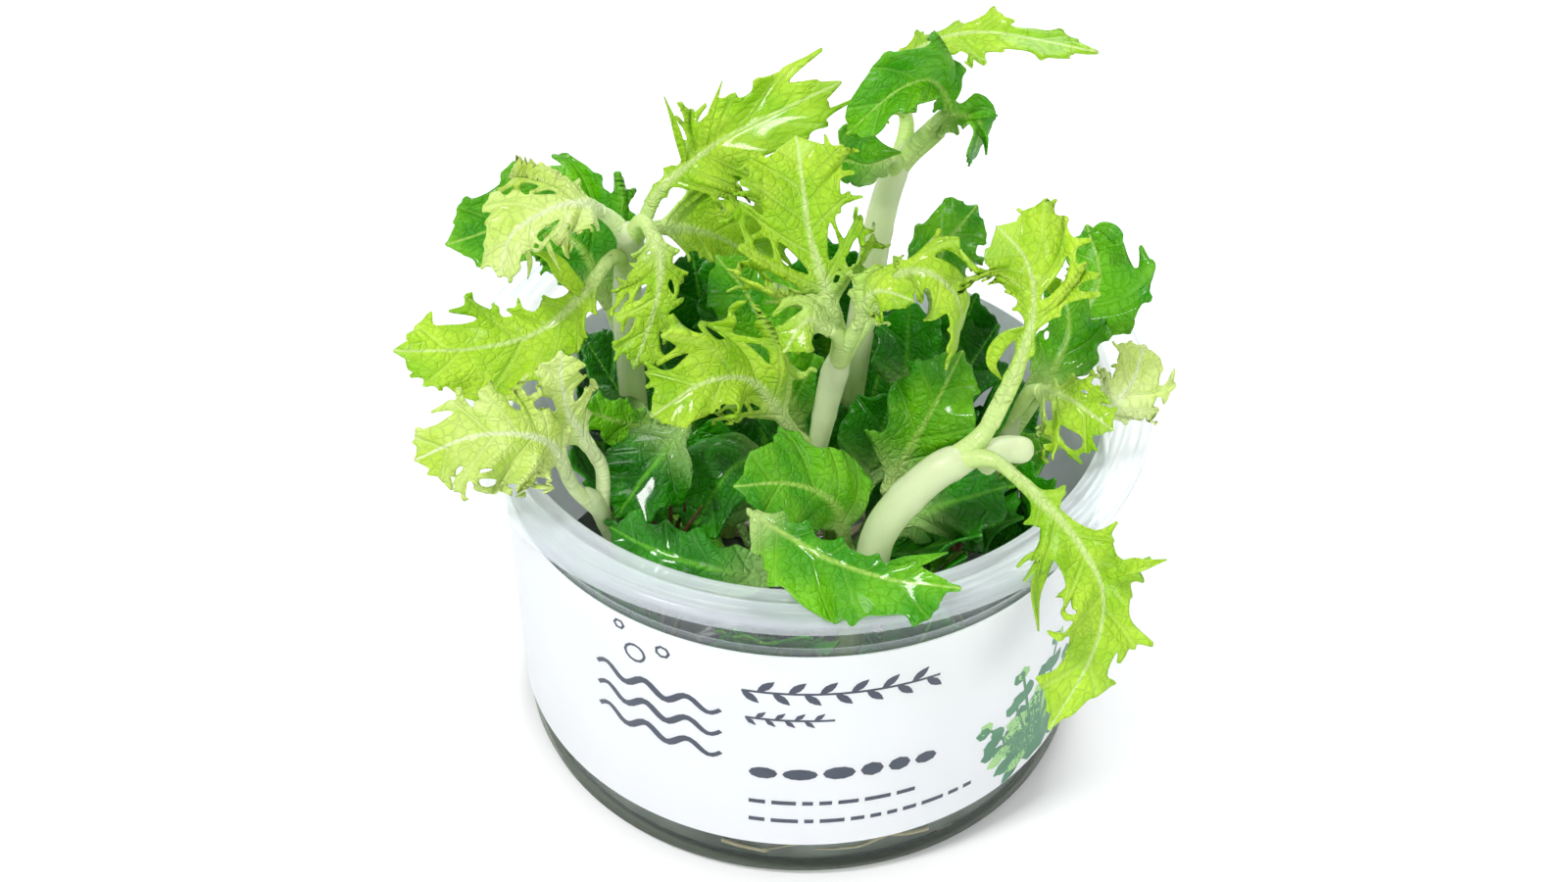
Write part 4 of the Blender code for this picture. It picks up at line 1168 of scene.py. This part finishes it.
def right_back_stem_leaves():
    leaf("leaf_right_dark", "old_leaf", [(34, 1, 62), (39, 6, 67), (42, 10, 72), (40, 14, 78)],
         (6.8, 6.8), lobes=4, notch=0.2, ruffle=0.05, tint="mid",
         slips=[([(41, 9, 78), (43.5, 8, 80.5), (41.5, 8.5, 82), (39.5, 9, 80.5)], 1.0)])
    leaf("leaf_right_wavy", "mid_leaf", [(33, -5, 62), (35, -4, 66), (37, -1, 71), (36, 2, 76)],
         (4.6, 4.6), lobes=4, ruffle=0.2)
    leaf("leaf_right_far", "young_leaf", [(40, -14, 65), (43.5, -11, 66.5), (46, -7.5, 68), (47.5, -3, 70)],
         (5.2, 5.2), lobes=4, notch=0.5, tint="pale")
    leaf("leaf_right_low", "young_leaf", [(33, -8, 65.5), (36.5, -14, 69), (42, -19, 68)], (3.5, 7.5),
         lobes=5, notch=0.6)
    leaf("leaf_right_back", "old_leaf", [(19, 18, 58), (20, 23, 66), (25, 28, 71)], (6.5, 6.5),
         lobes=3, notch=0.3, tint="mid")


def wall_leaves():
    leaf("leaf_back_left", "old_leaf", [(-13, 24, 36), (-16, 30, 46), (-18, 33, 58)], (7.5, 7.5),
         FRONT, lobes=3, notch=0.2)
    leaf("leaf_back", "old_leaf", [(9, 26, 34), (4, 31, 45), (2, 35, 60)], (8.0, 8.0),
         FRONT, lobes=3, notch=0.2)
    leaf("leaf_back_right", "old_leaf", [(16, 24, 32), (22, 26, 42), (26, 28, 54)], (6.5, 6.5),
         FRONT, lobes=3, notch=0.2)
    leaf("leaf_wall_left", "old_leaf", [(-26, 10, 26), (-32, 14, 40), (-34, 16, 55)], (7.5, 7.5),
         (0.9, -0.3, 0.3), lobes=3, notch=0.2)
    leaf("leaf_wall_front_left", "old_leaf", [(-20, -18, 22), (-27, -22, 32), (-31, -22, 45)],
         (6.5, 6.5), FRONT, lobes=3, notch=0.2)
    leaf("leaf_wall_right", "old_leaf", [(26, -4, 24), (33, -9, 36), (36, -11, 51)], (7.5, 7.5),
         (-0.8, -0.4, 0.3), lobes=3, notch=0.2)
    leaf("leaf_wall_front_right", "old_leaf", [(9, -24, 22), (15, -31, 34), (19, -33, 48)], (7.0, 7.0),
         FRONT, lobes=3, notch=0.2)
    leaf("leaf_wall_front", "old_leaf", [(-2, -24, 20), (-7, -31, 32), (-9, -35, 44)], (7.0, 7.0),
         FRONT, lobes=3, notch=0.2)


def deep_leaves():
    """The crowded older leaves low in the cup, which only show between the others."""
    lots = random.Random(29)
    for k in range(16):
        angle = 2 * math.pi * k / 16 + lots.uniform(-0.15, 0.15)
        out = np.array([math.cos(angle), math.sin(angle), 0])
        foot, reach = lots.uniform(6, 14), lots.uniform(33, 38.5)
        low, high = lots.uniform(15, 22), lots.uniform(42, 56)
        path = [out * foot + (0, 0, low), out * (foot + reach) * 0.56 + (0, 0, (low + high) / 2 + 4),
                out * reach + (0, 0, high)]
        leaf("leaf_deep_%02d" % k, "old_leaf", path, (7.5, 7.5), tuple(out * -0.7 + (0, 0, 0.7)),
             lobes=3, notch=0.2, springs=False, stalk_half=0.7, tint="mid" if k % 4 == 0 else "old")


bpy.context.scene.view_settings.view_transform = "Standard"
set_stage()
set_camera()
cup()
culture_bed()
label_band()
label_print()
stems()
roots()
tall_stem_leaves()
left_stem_leaves()
far_left_stem_leaves()
centre_stem_leaves()
right_stem_leaves()
right_back_stem_leaves()
wall_leaves()
deep_leaves()
